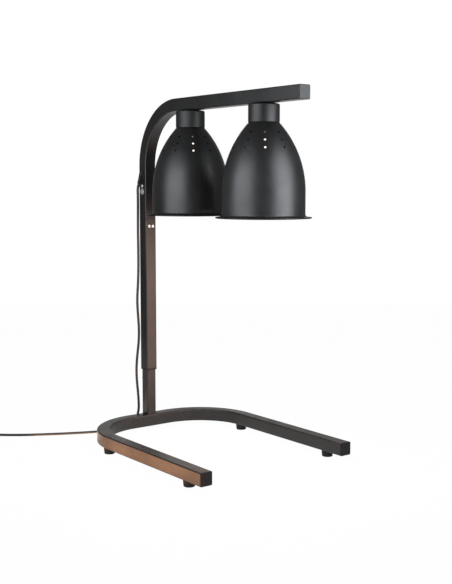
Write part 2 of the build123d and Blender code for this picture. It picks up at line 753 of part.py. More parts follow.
# Lamps: what hangs under the arm at each place
for name, lamp_y in lamps.items():
    section = upright(lamp_y)
    axis = vertical_axis(lamp_y)

    with BuildPart() as spacer:
        with BuildSketch(facing(0, lamp_y, neck_top, (0, 0, 1), (1, 0, 0))):
            Circle(spacer_radius)
            Circle(nipple_radius + screw_gap, mode=Mode.SUBTRACT)
        extrude(amount=spacer_height)
    save(spacer, f"{name}_spacer")

    with BuildPart() as neck_cup:
        with BuildSketch(section):
            with BuildLine():
                cup = FilletPolyline(
                    (nipple_radius + screw_gap, neck_top),
                    (neck_radius, neck_top),
                    (neck_radius, crown_z),
                    radius=neck_edge,
                )
                offset(cup, amount=neck_wall, side=Side.RIGHT)
            make_face()
        revolve(axis=axis)
    save(neck_cup, f"{name}_neck_cup")

    with BuildPart() as nipple:
        nipple_foot = holder_top - nipple_in_holder
        nipple_top = arm_under + tube_wall + lock_nut + nipple_above_nut
        with BuildSketch(facing(0, lamp_y, nipple_foot, (0, 0, 1), (1, 0, 0))):
            Circle(nipple_radius)
            Circle(nipple_bore, mode=Mode.SUBTRACT)
        extrude(amount=nipple_top - nipple_foot)
    save(nipple, f"{name}_nipple")

    with BuildPart() as nut:
        with BuildSketch(facing(0, lamp_y, arm_under + tube_wall, (0, 0, 1), (1, 0, 0))):
            RegularPolygon(lock_nut_width / 2, 6, major_radius=False)
            Circle(nipple_radius + press_gap, mode=Mode.SUBTRACT)
        extrude(amount=lock_nut)
    save(nut, f"{name}_lock_nut")

    with BuildPart() as shade:
        with BuildSketch(section):
            with BuildLine():
                outer_edge = draw_bell(0)
                inner_edge = draw_bell(shade_wall)
                Line((crown_hole, crown_z), (crown_hole, crown_z - shade_wall))
                Line(outer_edge, inner_edge)
            make_face()
            with Locations(bead_centre):
                Circle(bead_radius)
        revolve(axis=axis)
        with Locations(*vent_places(lamp_y, vent_turn[name])):
            Cylinder(vent_radius, 4 * shade_wall, mode=Mode.SUBTRACT)
    save(shade, f"{name}_shade")

    with BuildPart() as lampholder:
        bore_step = cap_foot + bulb_cap_wall
        with BuildSketch(section):
            with BuildLine():
                Polyline(
                    (nipple_radius + press_gap, holder_top),
                    (holder_radius - holder_edge, holder_top),
                    (holder_radius, holder_top - holder_edge),
                    (holder_radius, crown_z),
                    (holder_skirt_radius, crown_z),
                    (holder_skirt_radius, skirt_foot),
                    (holder_neck_bore, skirt_foot),
                    (holder_neck_bore, bore_step),
                    (holder_cap_bore, bore_step),
                    (holder_cap_bore, holder_roof_z),
                    (nipple_radius + press_gap, holder_roof_z),
                    close=True,
                )
            make_face()
        revolve(axis=axis)
    save(lampholder, f"{name}_lampholder")

    with BuildPart() as shade_ring:
        with BuildSketch(facing(0, lamp_y, crown_z - shade_wall, (0, 0, -1), (1, 0, 0))):
            Circle(ring_radius)
            Circle(holder_skirt_radius + press_gap, mode=Mode.SUBTRACT)
        extrude(amount=ring_height)
        chamfer(shade_ring.edges().group_by(Axis.Z)[0].sort_by(SortBy.LENGTH)[-1], holder_edge)
    save(shade_ring, f"{name}_shade_ring")

    with BuildPart() as bulb_cap:
        cap_bore = bulb_cap_radius - bulb_cap_wall
        with BuildSketch(section):
            with BuildLine():
                Polyline(
                    (0, cap_top + bulb_contact_height),
                    (bulb_contact_radius, cap_top + bulb_contact_height),
                    (bulb_contact_radius, cap_top),
                    (bulb_cap_radius, cap_top - bulb_cap_cone),
                    (bulb_cap_radius, cap_foot),
                    (cap_bore, cap_foot),
                    (cap_bore, cap_top - bulb_cap_cone),
                    (bulb_contact_radius, cap_top - bulb_cap_wall),
                    (0, cap_top - bulb_cap_wall),
                    close=True,
                )
            make_face()
        revolve(axis=axis)
    save(bulb_cap, f"{name}_bulb_cap")

    with BuildPart() as bulb_glass:
        with BuildSketch(section):
            with BuildLine():
                reflector = ((bulb_radius - bulb_throat_radius) ** 2 + (throat_z - belly_z) ** 2) / 2
                reflector = reflector / (bulb_radius - bulb_throat_radius)
                shoulder = (bulb_shoulder**2 + (belly_z - face_z - bulb_dome) ** 2) / 2 / bulb_shoulder
                Line((bulb_neck_radius, cap_foot), (bulb_throat_radius, throat_z))
                RadiusArc((bulb_throat_radius, throat_z), (bulb_radius, belly_z), reflector)
                RadiusArc((bulb_radius, belly_z), (dome_edge, face_z + bulb_dome), shoulder)
                RadiusArc((dome_edge, face_z + bulb_dome), (0, face_z), dome_radius)
                offset(amount=bulb_glass_wall, side=Side.RIGHT)
            make_face()
        revolve(axis=axis)
    save(bulb_glass, f"{name}_bulb_glass")

# Mains cord: the hanging stretch and the stretch on the table, each a tube of tangent arcs
heading = Vector(cos(radians(coil_heading)), sin(radians(coil_heading)), 0)
coil_start = Vector(coil_entry[0], post_y + coil_entry[1], coil_z)
hanging = [relief_end, relief_end + relief_direction * cord_first_run]
route_share = relief_end_z / route_top
hanging += [Vector(x, post_y + y, max(z * route_share, cord_lie)) for x, y, z in hanging_route]
floor = [Vector(x, post_y + y, z) for x, y, z in floor_route]
floor += [coil_start - heading * coil_lead, coil_start]
meeting = (hanging[-1] + floor[0]) * 0.5


def bend_radii(points):
    """Radius at each corner of a route, as large as its two runs allow."""
    radii = []
    for before, corner, after in zip(points, points[1:], points[2:]):
        turn = (corner - before).get_angle(after - corner)
        run = min((corner - before).length, (after - corner).length)
        radii.append(cord_bend * run / tan(radians(turn) / 2))
    return radii


def build_cord(points, name):
    """Round cord along a route, with its radii and volume printed."""
    radii = bend_radii(points)
    with BuildPart() as cord:
        with BuildLine() as path:
            FilletPolyline(*points, radius=radii)
        with BuildSketch(Plane(points[0], z_dir=points[1] - points[0])):
            Circle(cord_diameter / 2)
        sweep(path=path.wire())
    length = path.wire().length
    ratio = cord.part.volume / (length * pi * cord_diameter**2 / 4)
    print(f"{name}: length {length:.1f}, least radius {min(radii):.1f}, volume ratio {ratio:.4f}")
    return cord


save(build_cord(hanging + [meeting], "cord_hanging"), "cord_hanging")
save(build_cord([meeting] + floor, "cord_floor"), "cord_floor")

# Coil: half turns that spiral in on the table, climb a layer and spiral out on top
side = Vector(-heading.Y, heading.X, 0)
half_turns = coil_half_turns_in + 1 + coil_half_turns_out

with BuildPart() as cord_coil:
    with BuildLine() as coil_path:
        Line(coil_start, coil_start + heading * cord_diameter)
        spot = coil_start + heading * cord_diameter
        ahead = heading
        across = side
        radius = coil_outer_radius
        for half_turn in range(half_turns):
            if half_turn == coil_half_turns_in:
                slope = coil_turn / 2 / radius
                middle = spot + across * radius + ahead * radius * sqrt(1 + slope**2)
                middle = middle + Vector(0, 0, coil_turn / 2)
                finish = spot + across * 2 * radius + Vector(0, 0, coil_turn)
                TangentArc(spot, middle, tangent=ahead)
                TangentArc(finish, middle, tangent=ahead)
            else:
                finish = spot + across * 2 * radius
                TangentArc(spot, finish, tangent=ahead)
            spot = finish
            ahead = ahead * -1
            across = across * -1
            inward = half_turn < coil_half_turns_in
            radius = radius - coil_turn / 2 if inward else radius + coil_turn / 2
        coil_end = spot + ahead * coil_end_run
        Line(spot, coil_end)
    with BuildSketch(Plane(coil_start, z_dir=heading)):
        Circle(cord_diameter / 2)
    sweep(path=coil_path.wire())
save(cord_coil, "cord_coil")


def least_gap(wire, step, apart):
    """Least gap of a tube to itself, on points along its line that lie well apart on it."""
    count = ceil(wire.length / step)
    points = [tuple(wire.position_at(i / count)) for i in range(count + 1)]
    skip = ceil(apart / step)
    return min(
        dist(points[i], points[j]) for i in range(count + 1) for j in range(i + skip, count + 1)
    ) - cord_diameter


coil_wire = coil_path.wire()
coil_gap = least_gap(coil_wire, coil_outer_radius * pi / coil_samples, 2 * coil_outer_radius)
ratio = cord_coil.part.volume / (coil_wire.length * pi * cord_diameter**2 / 4)
print(f"cord_coil: length {coil_wire.length:.1f}, least gap {coil_gap:.2f}, volume ratio {ratio:.4f}")

# Tie round the coil's turns, standing on the table
coil_centre = coil_start + heading * cord_diameter + side * (coil_outer_radius + coil_turn / 2)
tie_reach = (tie_width + coil_turn) / 2
turns_inside = (coil_half_turns_in - 1) / 2
inner_turn = coil_outer_radius - turns_inside * coil_turn - cord_diameter / 2
tie_inner = sqrt(inner_turn**2 - tie_reach**2) - tie_gap
tie_outer = coil_outer_radius + cord_diameter / 2 + tie_gap
tie_height = coil_turn + cord_diameter + 2 * tie_gap
tie_middle = Vector(0, 0, coil_turn / 2) + heading * (tie_outer + tie_inner) / 2

with BuildPart() as coil_tie:
    with BuildSketch(Plane(coil_centre + tie_middle, x_dir=heading, z_dir=side)):
        width = tie_outer - tie_inner
        outside = 2 * tie_thickness
        RectangleRounded(width + outside, tie_height + outside, tie_corner + tie_thickness)
        RectangleRounded(width, tie_height, tie_corner, mode=Mode.SUBTRACT)
    extrude(amount=tie_width / 2, both=True)
save(coil_tie, "coil_tie")

# Plug: tapered grip and body lying on the table, with two blades and an earth pin
grip_end = coil_end + heading * plug_grip_length
plug_face = grip_end + heading * plug_length

with BuildPart() as plug_body:
    with BuildSketch(Plane(coil_end, x_dir=side, z_dir=heading)):
        Circle(cord_diameter / 2 + plug_grip_wall)
    with BuildSketch(Plane(grip_end, x_dir=side, z_dir=heading)):
        Circle(plug_grip_root)
    loft()
    with BuildSketch(Plane(grip_end, x_dir=side, z_dir=heading)):
        RectangleRounded(plug_width * plug_taper, 2 * plug_z * plug_taper, plug_corner)
    with BuildSketch(Plane(plug_face, x_dir=side, z_dir=heading)):
        RectangleRounded(plug_width, 2 * plug_z, plug_corner)
    loft()
save(plug_body, "plug_body")

with BuildPart() as plug_pins:
    face = Plane(plug_face, x_dir=side, z_dir=heading)
    with BuildSketch(face):
        with Locations((0, earth_pin_offset / 2)):
            with GridLocations(blade_spacing, 0, 2, 1):
                Rectangle(blade_thickness, blade_width)
    extrude(amount=blade_length)
    with BuildSketch(face):
        with Locations((0, -earth_pin_offset / 2)):
            Circle(earth_pin_radius)
    extrude(amount=earth_pin_length)
save(plug_pins, "plug_pins")
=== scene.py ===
"""Looks of a free-standing food heat lamp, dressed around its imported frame.

Metres, +Z up, front is -Y. The frame gives every rigid piece its shape and place; the classes below
add the mains lead and the small fittings, and give each surface its finish.
"""

import json
import logging
import math
from dataclasses import dataclass, field
from enum import Enum
from typing import Any, ClassVar, Iterable

import bmesh
import bpy
from mathutils import Matrix, Vector

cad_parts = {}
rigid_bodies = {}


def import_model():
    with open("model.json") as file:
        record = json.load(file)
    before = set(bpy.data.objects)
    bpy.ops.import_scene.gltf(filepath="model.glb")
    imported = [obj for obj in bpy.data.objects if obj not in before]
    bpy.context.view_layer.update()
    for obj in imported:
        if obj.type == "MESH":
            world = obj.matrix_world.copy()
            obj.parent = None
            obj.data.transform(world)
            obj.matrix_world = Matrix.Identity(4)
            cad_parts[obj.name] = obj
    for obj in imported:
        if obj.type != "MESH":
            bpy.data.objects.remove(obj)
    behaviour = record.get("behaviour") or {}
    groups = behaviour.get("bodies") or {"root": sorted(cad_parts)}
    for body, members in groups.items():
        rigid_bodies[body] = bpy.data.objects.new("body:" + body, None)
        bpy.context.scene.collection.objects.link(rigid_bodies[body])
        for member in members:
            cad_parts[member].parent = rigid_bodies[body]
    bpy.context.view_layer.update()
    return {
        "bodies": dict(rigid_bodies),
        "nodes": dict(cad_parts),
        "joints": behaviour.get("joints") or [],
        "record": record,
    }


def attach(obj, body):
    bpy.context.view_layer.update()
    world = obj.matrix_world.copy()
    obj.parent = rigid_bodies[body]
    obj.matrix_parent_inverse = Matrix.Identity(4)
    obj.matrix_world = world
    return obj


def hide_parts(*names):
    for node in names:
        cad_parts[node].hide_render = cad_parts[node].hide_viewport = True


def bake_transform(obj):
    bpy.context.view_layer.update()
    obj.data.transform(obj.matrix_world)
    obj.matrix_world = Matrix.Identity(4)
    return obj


LOG = logging.getLogger("heat_lamp")
MM = 0.001
ORIGIN = (0.0, 0.0, 0.0)

# Points nearer than this are one; a face with this share of its normal on an axis is square to it.
MERGE = 1e-7
SQUARE_ON = 0.9

# Where the post stands, and the faces of its tube and the arm's that the fittings sit on.
POST_Y = 248.95 * MM
TUBE_HALF = 13.2 * MM
LEFT_FACE = -TUBE_HALF
FRONT_FACE = POST_Y - TUBE_HALF

BLACK = (0.0, 0.0, 0.0)
WHITE = (1.0, 1.0, 1.0, 1.0)
COOL = (0.94, 0.98, 1.03)
BULB = (1.0, 0.57, 0.34)

Colour = tuple[float, float, float]
Place = tuple[float, float, float]
Outline = list[tuple[float, float]]
Inputs = dict[Any, Any]
Shape = bmesh.types.BMesh
Edge = bmesh.types.BMEdge
Face = bmesh.types.BMFace
Piece = bpy.types.Object


class Facing(Enum):
    """Way that a fitting looks out of the face that it sits on."""

    LEFT = (-1.0, 0.0, 0.0)
    FRONT = (0.0, -1.0, 0.0)

    def turn(self) -> Matrix:
        """Give the turn that takes up to this way."""
        return Vector((0.0, 0.0, 1.0)).rotation_difference(Vector(self.value)).to_matrix()


class LampPlace(Enum):
    """Which of the two lamps under the arm."""

    FRONT = "front"
    REAR = "rear"


class Body(Enum):
    """Moving bodies that new pieces ride on."""

    BASE = "base"
    ARM = "arm"


class Socket(Enum):
    """Kinds of value that a shared effect takes in or puts out."""

    VALUE = "NodeSocketFloat"
    COLOUR = "NodeSocketColor"


class LightShape(Enum):
    """Outline of a flat light."""

    OBLONG = "RECTANGLE"
    ROUND = "DISK"


@dataclass
class NodeSheet:
    """Named nodes of a material's, world's or group's tree; inputs hold values or wires.

    A wire is written as a node's name and the name or place of its output, such as "noise.Fac".
    """

    tree: bpy.types.NodeTree
    nodes: dict[str, bpy.types.Node] = field(default_factory=dict)

    def __post_init__(self) -> None:
        """Empty the tree."""
        self.tree.nodes.clear()

    def add(self, name: str, kind: str, inputs: Inputs | None = None, **settings: Any) -> None:
        """Add one node.

        Args:
            name: Name that the wires use.
            kind: Blender's name of the shader node, after its first two words.
            inputs: Values or wires, by the names or places of the inputs.
            settings: Properties of the node.
        """
        self.nodes[name] = self.tree.nodes.new(f"ShaderNode{kind}")
        for key, value in settings.items():
            setattr(self.nodes[name], key, value)
        self.feed(name, inputs or {})

    def group(self, name: str, effect: "Effect", inputs: Inputs) -> None:
        """Place a shared effect."""
        self.add(name, "Group", inputs, node_tree=effect.tree())

    def feed(self, name: str, inputs: Inputs) -> None:
        """Set inputs of a node.

        Args:
            name: Name of the node.
            inputs: Values or wires, by the names or places of the inputs.
        """
        for key, value in inputs.items():
            socket = self.nodes[name].inputs[key]
            if isinstance(value, str):
                self.tree.links.new(self.output(value), socket)
            else:
                socket.default_value = value

    def output(self, wire: str) -> bpy.types.NodeSocket:
        """Find the output that a wire comes from."""
        name, key = wire.split(".")
        return self.nodes[name].outputs[int(key) if key.isdigit() else key]

    def overlay(self, name: str, mask: str, colour: Colour, target: str) -> None:
        """Lay a colour over what an input of the shader shows so far.

        Args:
            name: Name of the mixing node.
            mask: Wire that is 1 where the colour shows.
            colour: The colour.
            target: Name of the shader's input.
        """
        shown = self.nodes["shader"].inputs[target]
        layers = {"Factor": mask, "A": shown.default_value, "B": (*colour, 1.0)}
        self.add(name, "Mix", layers, data_type="RGBA")
        for link in shown.links:
            self.tree.links.new(link.from_socket, self.nodes[name].inputs["A"])
        self.feed("shader", {target: f"{name}.Result"})


@dataclass(frozen=True)
class Effect:
    """A shader node group that is built once and placed in many materials.

    Each node has its kind, its inputs and its settings. Wires call the group's inputs "given".
    """

    name: str
    inputs: dict[str, Any]
    nodes: dict[str, tuple[str, Inputs, dict[str, Any]]]
    outputs: dict[str, str]

    def tree(self) -> bpy.types.NodeTree:
        """Give the group, building it the first time.

        Returns:
            The node tree of the group.
        """
        found = bpy.data.node_groups.get(self.name)
        if found is not None:
            return found
        tree = bpy.data.node_groups.new(self.name, "ShaderNodeTree")
        for name, value in self.inputs.items():
            takes = Socket.COLOUR if isinstance(value, tuple) else Socket.VALUE
            socket = tree.interface.new_socket(name, in_out="INPUT", socket_type=takes.value)
            socket.default_value = value
        sheet = NodeSheet(tree)
        sheet.nodes["given"] = tree.nodes.new("NodeGroupInput")
        for name, (kind, inputs, settings) in self.nodes.items():
            sheet.add(name, kind, inputs, **settings)
        for name, wire in self.outputs.items():
            gives = Socket.COLOUR if sheet.output(wire).type == "RGBA" else Socket.VALUE
            tree.interface.new_socket(name, in_out="OUTPUT", socket_type=gives.value)
        sheet.nodes["result"] = tree.nodes.new("NodeGroupOutput")
        sheet.feed("result", self.outputs)
        return tree


# Fine pebbled skin of a coat or a moulding: one noise, and a coarser one that swells under it.
FINE_GRAIN = Effect(
    "fine_grain",
    {"Scale": 900.0},
    {
        "at": ("TexCoord", {}, {}),
        "share": ("Math", {0: "given.Scale", 1: 0.22}, {"operation": "MULTIPLY"}),
        "fine": ("TexNoise", {"Vector": "at.Object", "Scale": "given.Scale", "Detail": 2.0}, {}),
        "coarse": ("TexNoise", {"Vector": "at.Object", "Scale": "share.0", "Detail": 1.0}, {}),
        "both": ("Math", {0: "fine.Fac", 1: "coarse.Fac"}, {"operation": "ADD"}),
    },
    {"Height": "both.0"},
)

# Slow wander between two tones of one finish: a soft noise that mixes them.
TONE_DRIFT = Effect(
    "tone_drift",
    {"First": (0.1, 0.1, 0.1, 1.0), "Second": (0.2, 0.2, 0.2, 1.0), "Scale": 12.0},
    {
        "at": ("TexCoord", {}, {}),
        "noise": (
            "TexNoise",
            {
                "Vector": "at.Object", "Scale": "given.Scale", "Detail": 3.0, "Roughness": 0.55,
                "Distortion": 0.4,
            },
            {},
        ),
        "spread": ("MapRange", {"Value": "noise.Fac", "From Min": 0.3, "From Max": 0.7}, {}),
        "mix": (
            "Mix",
            {"Factor": "spread.Result", "A": "given.First", "B": "given.Second"},
            {"data_type": "RGBA"},
        ),
    },
    {"Colour": "mix.Result", "Mask": "spread.Result"},
)

# Thin dust on faces that look up: the upward slope of the face, broken up by a noise.
SETTLED_DUST = Effect(
    "settled_dust",
    {"Amount": 0.1},
    {
        "at": ("TexCoord", {}, {}),
        "face": ("NewGeometry", {}, {}),
        "split": ("SeparateXYZ", {"Vector": "face.Normal"}, {}),
        "upward": ("MapRange", {"Value": "split.Z", "From Min": 0.55, "From Max": 1.0}, {}),
        "noise": (
            "TexNoise",
            {"Vector": "at.Object", "Scale": 60.0, "Detail": 5.0, "Roughness": 0.65},
            {},
        ),
        "specks": ("MapRange", {"Value": "noise.Fac", "From Min": 0.38, "From Max": 0.72}, {}),
        "patchy": ("Math", {0: "upward.Result", 1: "specks.Result"}, {"operation": "MULTIPLY"}),
        "amount": ("Math", {0: "patchy.0", 1: "given.Amount"}, {"operation": "MULTIPLY"}),
    },
    {"Mask": "amount.0"},
)

# Faint rings left by a tool on a spun or turned piece: a noise of the height alone.
TURNED_RINGS = Effect(
    "turned_rings",
    {"Pitch": 700.0},
    {
        "at": ("TexCoord", {}, {}),
        "split": ("SeparateXYZ", {"Vector": "at.Object"}, {}),
        "noise": (
            "TexNoise",
            {"W": "split.Z", "Scale": "given.Pitch", "Detail": 2.0, "Roughness": 0.6},
            {"noise_dimensions": "1D"},
        ),
    },
    {"Height": "noise.Fac"},
)

# Inside of an upright bell, whose faces look down where those of the outside look up.
BELL_INSIDE = Effect(
    "bell_inside",
    {},
    {
        "face": ("NewGeometry", {}, {}),
        "split": ("SeparateXYZ", {"Vector": "face.True Normal"}, {}),
        "downward": ("MapRange", {"Value": "split.Z", "From Min": -0.02, "From Max": -0.08}, {}),
    },
    {"Mask": "downward.Result"},
)


@dataclass(frozen=True)
class Finish:
    """Surface of one kind of piece: two close tones, a grain, a sheen, some dust and a glow; on
    porcelain the glow is painted bulb light.
    """

    name: str
    slot: str
    first: Colour
    second: Colour
    drift_scale: float = 14.0
    roughness: float = 0.45
    roughness_spread: float = 0.06
    specular: float = 0.5
    metallic: float = 0.0
    grain_scale: float = 900.0
    grain_depth: float = 0.00012
    dust: float = 0.0
    dust_colour: Colour = (0.34, 0.32, 0.29)
    glow: Colour = BLACK
    glow_strength: float = 0.0

    def material(self) -> bpy.types.Material:
        """Give the finish's material, building it the first time.

        Returns:
            The material.
        """
        found = bpy.data.materials.get(self.name)
        if found is not None:
            return found
        material = bpy.data.materials.new(self.name)
        material.use_nodes = True
        sheet = NodeSheet(material.node_tree)
        plain = {
            "Metallic": self.metallic,
            "Specular IOR Level": self.specular,
            "Emission Color": (*self.glow, 1.0),
            "Emission Strength": self.glow_strength,
        }
        sheet.add("shader", "BsdfPrincipled", plain)
        sheet.add("output", "OutputMaterial", {"Surface": "shader.BSDF"})
        self.lay(sheet)
        return material

    def lay(self, sheet: NodeSheet) -> None:
        """Lay colour, roughness and bump.

        Args:
            sheet: The material's sheet, with its shader.
        """
        first, second = (*self.first, 1.0), (*self.second, 1.0)
        least, most = self.roughness - self.roughness_spread, self.roughness + self.roughness_spread
        tones = {"First": first, "Second": second, "Scale": self.drift_scale}
        sheet.group("tone", TONE_DRIFT, tones)
        sheet.add("gloss", "MapRange", {"Value": "tone.Mask", "To Min": least, "To Max": most})
        sheet.add("bump", "Bump", {"Height": self.height(sheet), "Distance": self.grain_depth})
        sheet.feed("shader", {"Base Color": "tone.Colour", "Roughness": "gloss.Result"})
        sheet.feed("shader", {"Normal": "bump.Normal"})
        if self.dust > 0.0:
            sheet.group("dust", SETTLED_DUST, {"Amount": self.dust})
            sheet.overlay("dusted", "dust.Mask", self.dust_colour, "Base Color")

    def height(self, sheet: NodeSheet) -> str:
        """Lay the height that the bump reads, and give its wire."""
        sheet.group("grain", FINE_GRAIN, {"Scale": self.grain_scale})
        return "grain.Height"


@dataclass(frozen=True)
class SpunFinish(Finish):
    """Finish of a piece that was spun or turned: the grain lies over faint rings."""

    ring_pitch: float = 700.0
    ring_share: float = 0.6

    def height(self, sheet: NodeSheet) -> str:
        """Lay the grain and the rings together.

        Args:
            sheet: The material's sheet.

        Returns:
            The wire that gives the height.
        """
        sheet.group("rings", TURNED_RINGS, {"Pitch": self.ring_pitch})
        parts = {0: "rings.Height", 1: self.ring_share, 2: super().height(sheet)}
        sheet.add("both", "Math", parts, operation="MULTIPLY_ADD")
        return "both.0"


@dataclass(frozen=True)
class ShadeFinish(SpunFinish):
    """Finish of a spun bell whose inside is made near black, fully rough and without reflection."""

    inside_black: Colour = (0.0015, 0.0014, 0.0013)

    def lay(self, sheet: NodeSheet) -> None:
        """Lay the outer finish and dull it on the inside.

        Args:
            sheet: The material's sheet, with its shader.
        """
        super().lay(sheet)
        # Faces that look down, inside the bell, are made near black, fully rough and metallic, so
        # that they show no reflection.
        sheet.group("inside", BELL_INSIDE, {})
        sheet.add("matt", "Math", {0: "inside.Mask", 1: "gloss.Result"}, operation="MAXIMUM")
        sheet.overlay("sooty", "inside.Mask", self.inside_black, "Base Color")
        sheet.feed("shader", {"Roughness": "matt.0", "Metallic": "inside.Mask"})


@dataclass(frozen=True)
class LitGlass(Finish):
    """Reflector bulb's glass: a glowing frosted face, a silvered belly and a bare neck.

    The filament shows through the bare neck only to an eye that looks straight into it.
    """

    silver: Colour = (0.62, 0.61, 0.59)
    neck_glow: Colour = (0.92, 0.83, 0.72)
    belly_z: float = 0.5490
    belly_fade: float = 0.010
    neck_z: float = 0.6165
    neck_fade: float = 0.004
    straight_on: float = 0.42
    side_on: float = 0.53

    def lay(self, sheet: NodeSheet) -> None:
        """Lay the silvering and the glow over the frosted glass.

        Args:
            sheet: The material's sheet, with its shader.
        """
        super().lay(sheet)
        sheet.add("at", "TexCoord")
        sheet.add("split", "SeparateXYZ", {"Vector": "at.Object"})
        sheet.add("facing", "LayerWeight")
        levels = {
            "above_face": (self.belly_z, self.belly_fade),
            "above_silver": (self.neck_z, self.neck_fade),
        }
        for name, (middle, fade) in levels.items():
            self.step(sheet, name, "split.Z", middle - fade, middle + fade)
        self.step(sheet, "filament", "facing.Facing", self.side_on, self.straight_on)
        band = {0: "above_face.Result", 1: "above_silver.Result"}
        neck = {0: "above_silver.Result", 1: "filament.Result"}
        sheet.add("silvered", "Math", band, operation="SUBTRACT", use_clamp=True)
        sheet.add("lit_neck", "Math", neck, operation="MULTIPLY")
        sheet.overlay("silver", "silvered.0", self.silver, "Base Color")
        sheet.overlay("dark_belly", "above_face.Result", BLACK, "Emission Color")
        sheet.overlay("neck_light", "lit_neck.0", self.neck_glow, "Emission Color")

    def step(self, sheet: NodeSheet, name: str, wire: str, none: float, full: float) -> None:
        """Lay a soft step that is 0 where a wire has one value and 1 where it has the other."""
        sheet.add(name, "MapRange", {"Value": wire, "From Min": none, "From Max": full})


# Every finish of the heat lamp.
FINISHES: tuple[Finish, ...] = (
    Finish(
        "satin_black_coat", "black_coat", (0.0045, 0.0045, 0.0047), (0.0065, 0.0065, 0.0067),
        roughness=0.44, specular=0.55, grain_scale=1100.0, grain_depth=0.00010, dust=0.02,
    ),
    ShadeFinish(
        "satin_black_spun_shade", "shade_coat", (0.0038, 0.0038, 0.0040), (0.0052, 0.0052, 0.0054),
        roughness=0.42, specular=0.54, grain_scale=1300.0, grain_depth=0.00008, dust=0.01,
    ),
    SpunFinish(
        "dull_black_drawn_neck", "neck_coat", (0.0040, 0.0040, 0.0042), (0.0056, 0.0056, 0.0058),
        roughness=0.46, specular=0.44, grain_scale=1300.0, grain_depth=0.00010, dust=0.01,
    ),
    Finish(
        "black_moulded_cap", "black_plastic", (0.010, 0.010, 0.010), (0.015, 0.015, 0.015),
        roughness=0.52, specular=0.20, grain_scale=1500.0, grain_depth=0.00014, dust=0.05,
    ),
    Finish(
        "dark_grey_moulded_cap", "grey_plastic", (0.022, 0.022, 0.023), (0.032, 0.032, 0.033),
        roughness=0.5, specular=0.36, grain_scale=1500.0, grain_depth=0.00014,
    ),
    Finish(
        "black_foot_rubber", "foot_rubber", (0.010, 0.010, 0.010), (0.018, 0.018, 0.018),
        roughness=0.75, specular=0.3, grain_scale=1800.0, grain_depth=0.0002,
    ),
    Finish(
        "grey_switch_moulding", "switch_plastic", (0.28, 0.28, 0.285), (0.32, 0.32, 0.325),
        roughness=0.42, grain_scale=1800.0, grain_depth=0.00008,
    ),
    Finish(
        "black_knob_moulding", "knob_black", (0.012, 0.012, 0.012), (0.020, 0.020, 0.020),
        roughness=0.48, specular=0.4, grain_scale=1800.0, grain_depth=0.00015, dust=0.04,
    ),
    Finish(
        "bright_zinc_steel", "zinc_steel", (0.62, 0.64, 0.66), (0.70, 0.72, 0.74),
        drift_scale=220.0, roughness=0.30, metallic=1.0, grain_scale=2600.0, grain_depth=0.00003,
    ),
    # The porcelain's faint warm glow is painted light: it stands for the bulb's light falling on
    # the lampholder and the shade ring.
    SpunFinish(
        "glazed_porcelain_painted_bulb_glow", "porcelain", (0.74, 0.72, 0.67), (0.80, 0.78, 0.74),
        roughness=0.22, grain_scale=300.0, grain_depth=0.00004, ring_pitch=260.0, ring_share=0.3,
        glow=(1.0, 0.80, 0.70), glow_strength=0.16,
    ),
    SpunFinish(
        "nickel_bulb_cap", "bulb_cap", (0.62, 0.58, 0.50), (0.70, 0.66, 0.58),
        roughness=0.28, metallic=1.0, grain_scale=2200.0, grain_depth=0.00004, ring_pitch=900.0,
    ),
    LitGlass(
        "lit_reflector_glass", "bulb_glass", (0.86, 0.78, 0.66), (0.90, 0.84, 0.74),
        roughness=0.34, grain_scale=2400.0, grain_depth=0.00005,
        glow=(0.60, 0.36, 0.16), glow_strength=2.0,
    ),
    Finish(
        "black_cord_sheath", "cord_rubber", (0.013, 0.013, 0.013), (0.020, 0.020, 0.020),
        drift_scale=40.0, roughness=0.46, specular=0.4, grain_scale=2400.0, grain_depth=0.00012,
    ),
    Finish(
        "woven_wire_sleeve", "wire_sleeve", (0.50, 0.46, 0.38), (0.60, 0.55, 0.46),
        roughness=0.7, grain_scale=2000.0, grain_depth=0.0003,
    ),
    Finish(
        "looped_tie_strap", "tie_strap", (0.014, 0.014, 0.015), (0.030, 0.030, 0.032),
        drift_scale=900.0, roughness=0.85, specular=0.2, grain_scale=2600.0, grain_depth=0.0006,
    ),
    Finish(
        "pin_brass", "pin_brass", (0.72, 0.52, 0.24), (0.78, 0.58, 0.30),
        drift_scale=120.0, roughness=0.26, metallic=1.0, grain_scale=2600.0, grain_depth=0.00003,
    ),
)
BY_SLOT = {finish.slot: finish for finish in FINISHES}


@dataclass(frozen=True)
class FlatLight:
    """One flat light of the studio, which the camera doesn't see.

    It shines down until it is tilted: 90 degrees stands it up and 180 turns it face up.
    """

    name: str
    place: Place
    size: tuple[float, float]
    power: float
    colour: Colour
    tilt: float = 0.0
    heading: float = 0.0
    shape: LightShape = LightShape.OBLONG

    def build(self) -> None:
        """Put the light in its place."""
        data = bpy.data.lights.new(self.name, "AREA")
        data.shape = self.shape.value
        data.size, data.size_y = self.size
        data.energy = self.power
        data.color = self.colour
        light = add_object(self.name, data)
        light.location = self.place
        light.rotation_euler = (math.radians(self.tilt), 0.0, math.radians(self.heading))
        light.visible_camera = False
        LOG.info("%s: %.1f W", self.name, self.power)


